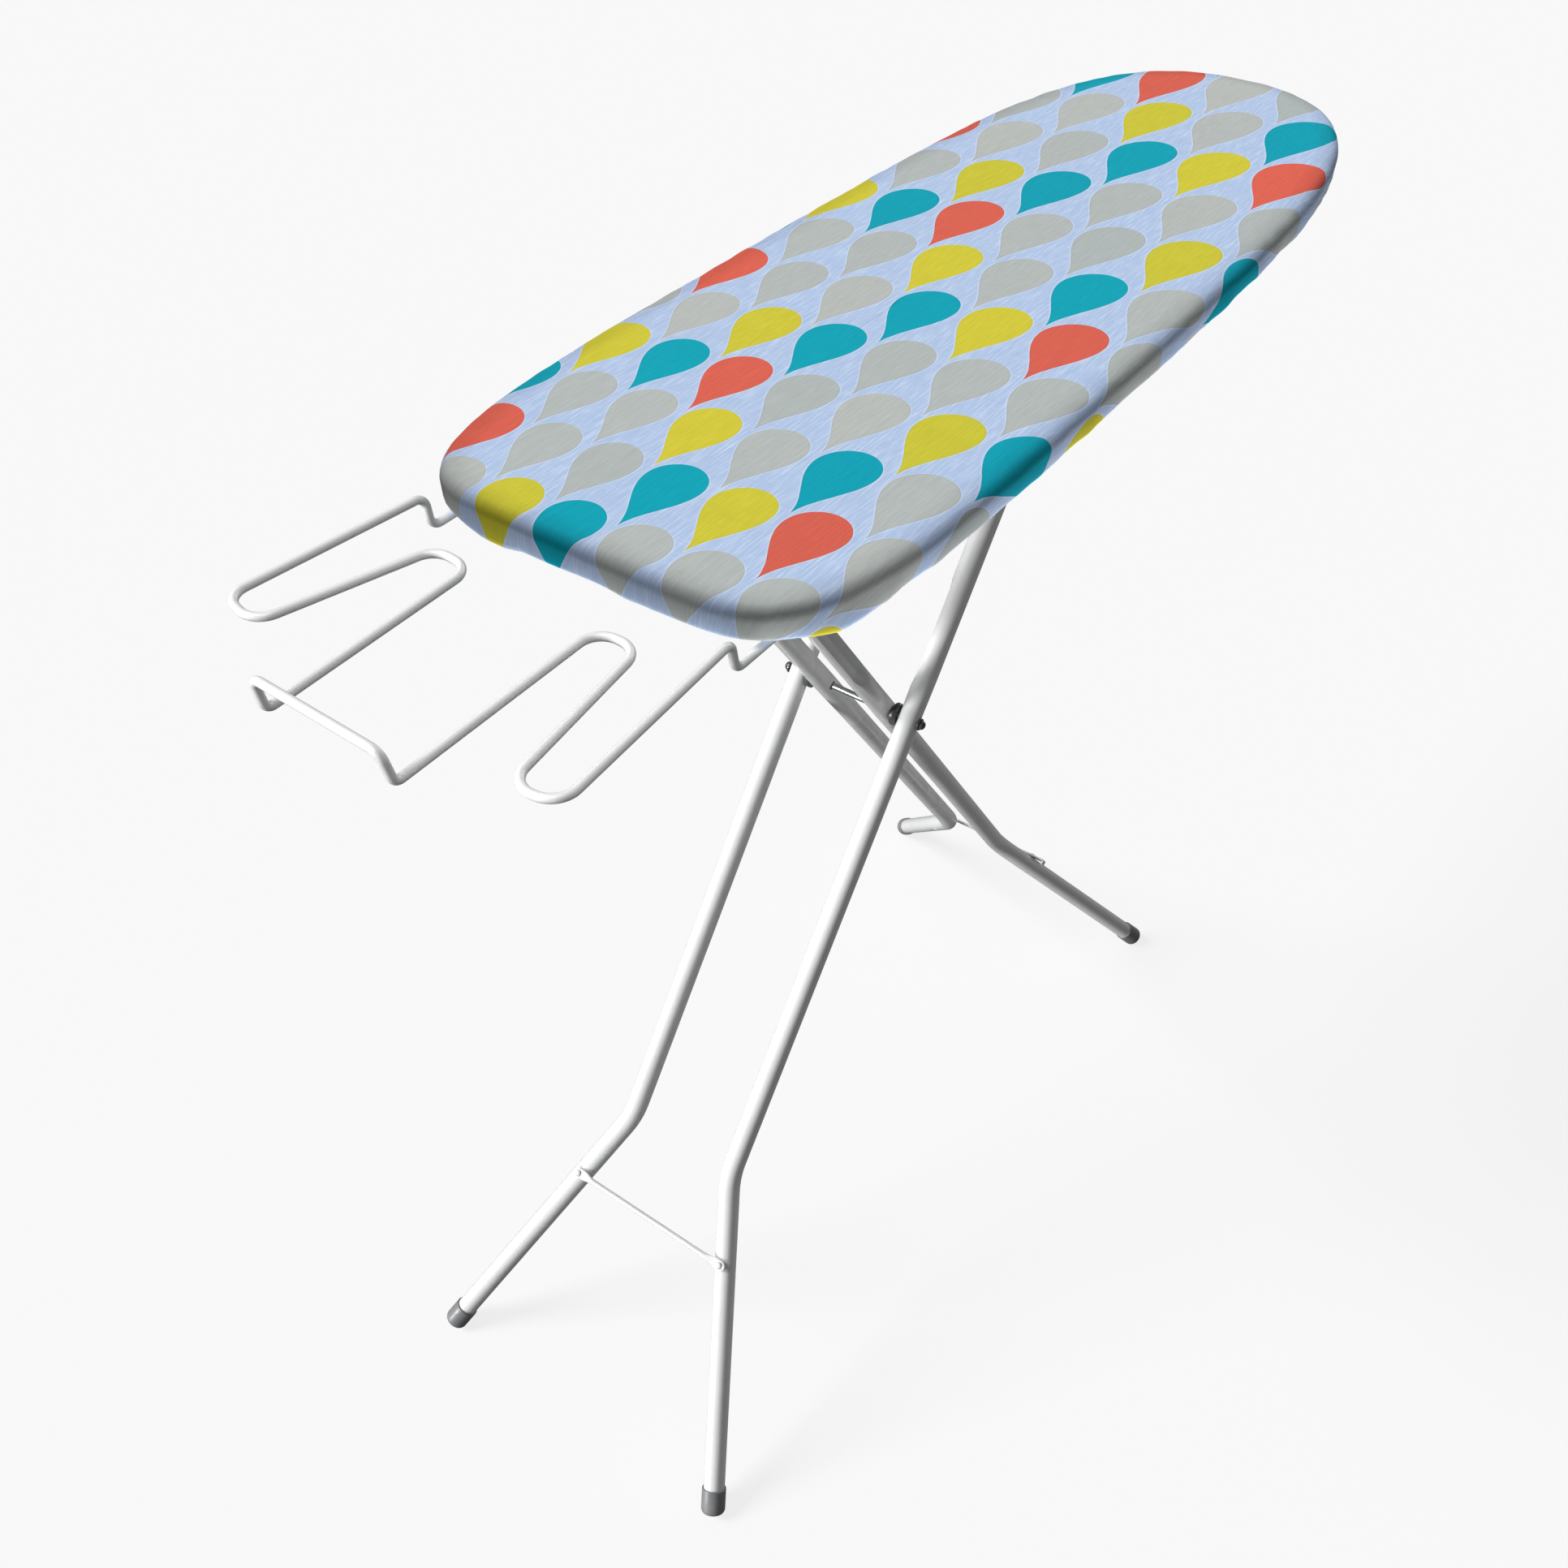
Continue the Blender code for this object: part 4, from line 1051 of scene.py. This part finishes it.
def iron_rest():
    """The rest's single wire: a slot on each side, and a raised stop bar at its end."""
    shift = Vector((PIVOT.x, 0, 0))
    first, last = [Vector((-0.236, side * 0.125, SOCKET_Z)) for side, _ in SIDES]
    points = [p + shift for p in (first, *[Vector(corner[:3]) for corner in REST_CORNERS], last)]
    route = refine(rounded(points, [corner[3] for corner in REST_CORNERS], radians(7)), 0.012)
    mesh = sweep("rest_wire", route, lambda *at: WIRE_RADIUS, 24, up=Vector((0, 0, 1)))
    return new_piece("rest_wire", mesh, PAINT, "board", "iron_rest_wire")


# -------- lock and lever

SPRING_WIRE = 0.0006
SPRING_TURNS = 4
GRIP_RIB, GRIP_PITCH = 0.00035, 0.0042
GRIP_POWER = 3.2


def lock_spring():
    """The coil on the rod."""
    low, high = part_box("lock_spring")
    middle_z = (low.z + high.z) / 2
    coil = (high.y - low.y) / 2 - SPRING_WIRE
    steps = 40 * SPRING_TURNS
    route = []
    for i in range(steps + 1):
        turn = 2 * pi * i * SPRING_TURNS / steps
        x = low.x + SPRING_WIRE + (high.x - low.x - 2 * SPRING_WIRE) * i / steps
        route.append(Vector((x, coil * cos(turn), middle_z + coil * sin(turn))))
    mesh = sweep("coil_spring", route, lambda *at: SPRING_WIRE, 10)
    new_piece("coil_spring", mesh, ZINC, "carriage", "lock_spring")


def lever_grip():
    """The ribbed grip of the lever."""
    low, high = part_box("lever_grip")
    middle = (low + high) / 2
    length = high.y - low.y
    tall, wide = (high.z - low.z) / 2, (high.x - low.x) / 2
    route = [Vector((middle.x, low.y + length * i / 80, middle.z)) for i in range(81)]

    def grip(distance, turn):
        near = min(distance, length - distance)
        rib = GRIP_RIB * (sin(distance * 2 * pi / GRIP_PITCH) if 0.006 < near else 0.0)
        reach = (abs(cos(turn)) / tall) ** GRIP_POWER + (abs(sin(turn)) / wide) ** GRIP_POWER
        reach = reach ** (-1 / GRIP_POWER) - 0.0004 + rib
        return max(0.0015, reach * (0.55 + 0.45 * quarter_round(near / 0.005)))

    mesh = sweep("ribbed_grip", route, grip, 40, up=Vector((0, 0, 1)))
    new_piece("ribbed_grip", mesh, NYLON, "release_lever", "lever_grip")


def dress_cad_nodes():
    """Materials, softened edges and smooth shading for the CAD pieces that are shown as they are."""
    looks = {
        PAINT: ("rim_band", "stringer", "cross_member", "hinge_bracket", "rest_socket", "hinge_sleeve"),
        DRAWN_ZINC: ("track_rail", "track_rod", "slide_bar", "pivot_axle", "hinge_pin"),
        ZINC: ("release_lever", "lock_plate", "lever_screw"),
        NYLON: ("slide_glide", "carriage_block"),
    }
    for finish, starts in looks.items():
        for obj in [node for name, node in frame["nodes"].items() if name.startswith(starts)]:
            for slot in obj.material_slots:
                slot.material = finish
            if not obj.material_slots:
                obj.data.materials.append(finish)
            weld = obj.modifiers.new("weld", "WELD")
            weld.merge_threshold = 0.00002
            add_bevel(obj, 0.0003, 2)
            shade_by_angle(obj)


def shade_by_angle(obj):
    """Smooth shading between faces that meet at a shallow angle, as a modifier."""
    group = bpy.data.node_groups.get("shade_by_angle")
    if not group:
        group = bpy.data.node_groups.new("shade_by_angle", "GeometryNodeTree")
        group.interface.new_socket("Geometry", in_out="INPUT", socket_type="NodeSocketGeometry")
        group.interface.new_socket("Geometry", in_out="OUTPUT", socket_type="NodeSocketGeometry")
        nodes, links = group.nodes, group.links
        come, leave = nodes.new("NodeGroupInput"), nodes.new("NodeGroupOutput")
        angle = nodes.new("GeometryNodeInputMeshEdgeAngle")
        shallow = nodes.new("FunctionNodeCompare")
        shallow.operation = "LESS_THAN"
        shallow.inputs["B"].default_value = SHARP_ANGLE
        faces, edges = nodes.new("GeometryNodeSetShadeSmooth"), nodes.new("GeometryNodeSetShadeSmooth")
        edges.domain = "EDGE"
        links.new(come.outputs[0], faces.inputs["Geometry"])
        links.new(faces.outputs[0], edges.inputs["Geometry"])
        links.new(angle.outputs["Unsigned Angle"], shallow.inputs["A"])
        links.new(shallow.outputs[0], edges.inputs["Shade Smooth"])
        links.new(edges.outputs[0], leave.inputs[0])
    obj.modifiers.new("shade", "NODES").node_group = group


# -------- floor, light, camera

# Grey levels as (seen by the camera, as a source of bounced light)
SURROUND = (0.90, 0.15)
FLOOR_BASE, FLOOR_GLOW = (0.24, 0.26), (0.80, 0.0)


def seen_or_lighting(tree, seen, lighting):
    """A grey level that is pale to the eye and darker as a source of bounced light, for contrast."""
    path = tree.nodes.new("ShaderNodeLightPath")
    mix = tree.nodes.new("ShaderNodeMix")
    mix.data_type = "RGBA"
    mix.inputs[6].default_value = (lighting, lighting, lighting, 1)
    mix.inputs[7].default_value = (seen, seen, seen, 1)
    tree.links.new(path.outputs["Is Camera Ray"], mix.inputs["Factor"])
    return mix.outputs[2]


def stage():
    """A plain pale floor."""
    bpy.ops.mesh.primitive_plane_add(size=60)
    floor = bpy.context.object
    floor.name = "floor"
    g = Graph("pale_floor")
    g.set(Base_Color=seen_or_lighting(g.tree, *FLOOR_BASE))
    g.set(Emission_Color=seen_or_lighting(g.tree, *FLOOR_GLOW), Emission_Strength=1.0)
    g.set(Roughness=0.9, Specular_IOR_Level=0.0)
    floor.data.materials.append(g.material)
    return floor


# Each sun: its name, where it comes from, how wide it looks in degrees, its strength, and what it lights
STUDIO = (
    ("key", (-0.48, 0.60, 0.64), 24, 2.15, "metal_and_floor"),
    ("low", (-0.84, 0.54, 0.06), 16, 3.30, "metal"),
    ("wire_top", (-0.30, -0.10, 0.95), 40, 1.15, "wire"),
    ("back", (0.88, -0.05, 0.22), 40, 0.80, "metal"),
    ("cover_key", (0.36, 0.46, 0.81), 22, 3.50, "cover"),
)
# The low lamp that fills the cover's skirt
FILL_AT = (-0.75, -0.85, 0.06)
FILL_SIZE = (2.6, 2.0)
FILL_STRENGTH = 48


def lamp(name, kind, strength, lit):
    """A lamp that lights one collection only."""
    data = bpy.data.lights.new(name, kind)
    data.energy = strength
    obj = linked(name, data)
    obj.light_linking.receiver_collection = lit
    return obj


def lights(cloth, floor, wire):
    """Large soft lights: one set for the white metal, one for the cover, and a pale surround."""
    world = bpy.data.worlds.new("studio")
    world.use_nodes = True
    tree = world.node_tree
    tree.links.new(seen_or_lighting(tree, *SURROUND), tree.nodes["Background"].inputs["Color"])
    bpy.context.scene.world = world
    bpy.context.scene.view_settings.view_transform = "Standard"
    groups = {}
    for name, listed, state in (("metal_and_floor", [cloth], "EXCLUDE"), ("metal", [cloth, floor], "EXCLUDE"),
                                ("cover", [cloth], "INCLUDE"), ("wire", [wire], "INCLUDE")):
        groups[name] = bpy.data.collections.new(name)
        for obj in listed:
            groups[name].objects.link(obj)
        for member in groups[name].collection_objects:
            member.light_linking.link_state = state
    for name, toward, spread, strength, lit in STUDIO:
        sun = lamp(name, "SUN", strength, groups[lit])
        sun.data.angle = radians(spread)
        sun.rotation_euler = Vector(toward).to_track_quat("Z", "Y").to_euler()
    fill = lamp("skirt_fill", "AREA", FILL_STRENGTH, groups["cover"])
    fill.data.shape = "RECTANGLE"
    fill.data.size, fill.data.size_y = FILL_SIZE
    fill.location = FILL_AT
    fill.rotation_euler = (pi, 0, 0)
    fill.visible_camera = False


CAMERA_AT = (-0.9945, -0.5514, 1.5103)
CAMERA_TURN = (0.5982, 0.7486, 0.0202)  # yaw, pitch down and roll
CAMERA_LENS = 35.475


def camera():
    """The photograph's viewing angle: from the heel, on the right, looking down."""
    yaw, pitch, roll = CAMERA_TURN
    forward = Vector((cos(yaw) * cos(pitch), sin(yaw) * cos(pitch), -sin(pitch)))
    level = Vector((sin(yaw), -cos(yaw), 0))
    above = level.cross(forward)
    right = level * cos(roll) + above * sin(roll)
    up = above * cos(roll) - level * sin(roll)
    data = bpy.data.cameras.new("camera")
    data.lens = CAMERA_LENS
    data.sensor_width = 36
    data.clip_start = 0.05
    obj = linked("camera", data)
    turn = Matrix((right, up, -forward)).transposed().to_4x4()
    obj.matrix_world = Matrix.Translation(CAMERA_AT) @ turn
    bpy.context.scene.camera = obj


camera()
floor = stage()
cloth, cloth_cut, cloth_area = cover()
elastic = hem_elastic()
felt_pad()
expanded_steel()
legs()
brace_rod()
brace_strap()
pivot_parts()
lights(cloth, floor, iron_rest())
lock_spring()
lever_grip()
dress_cad_nodes()
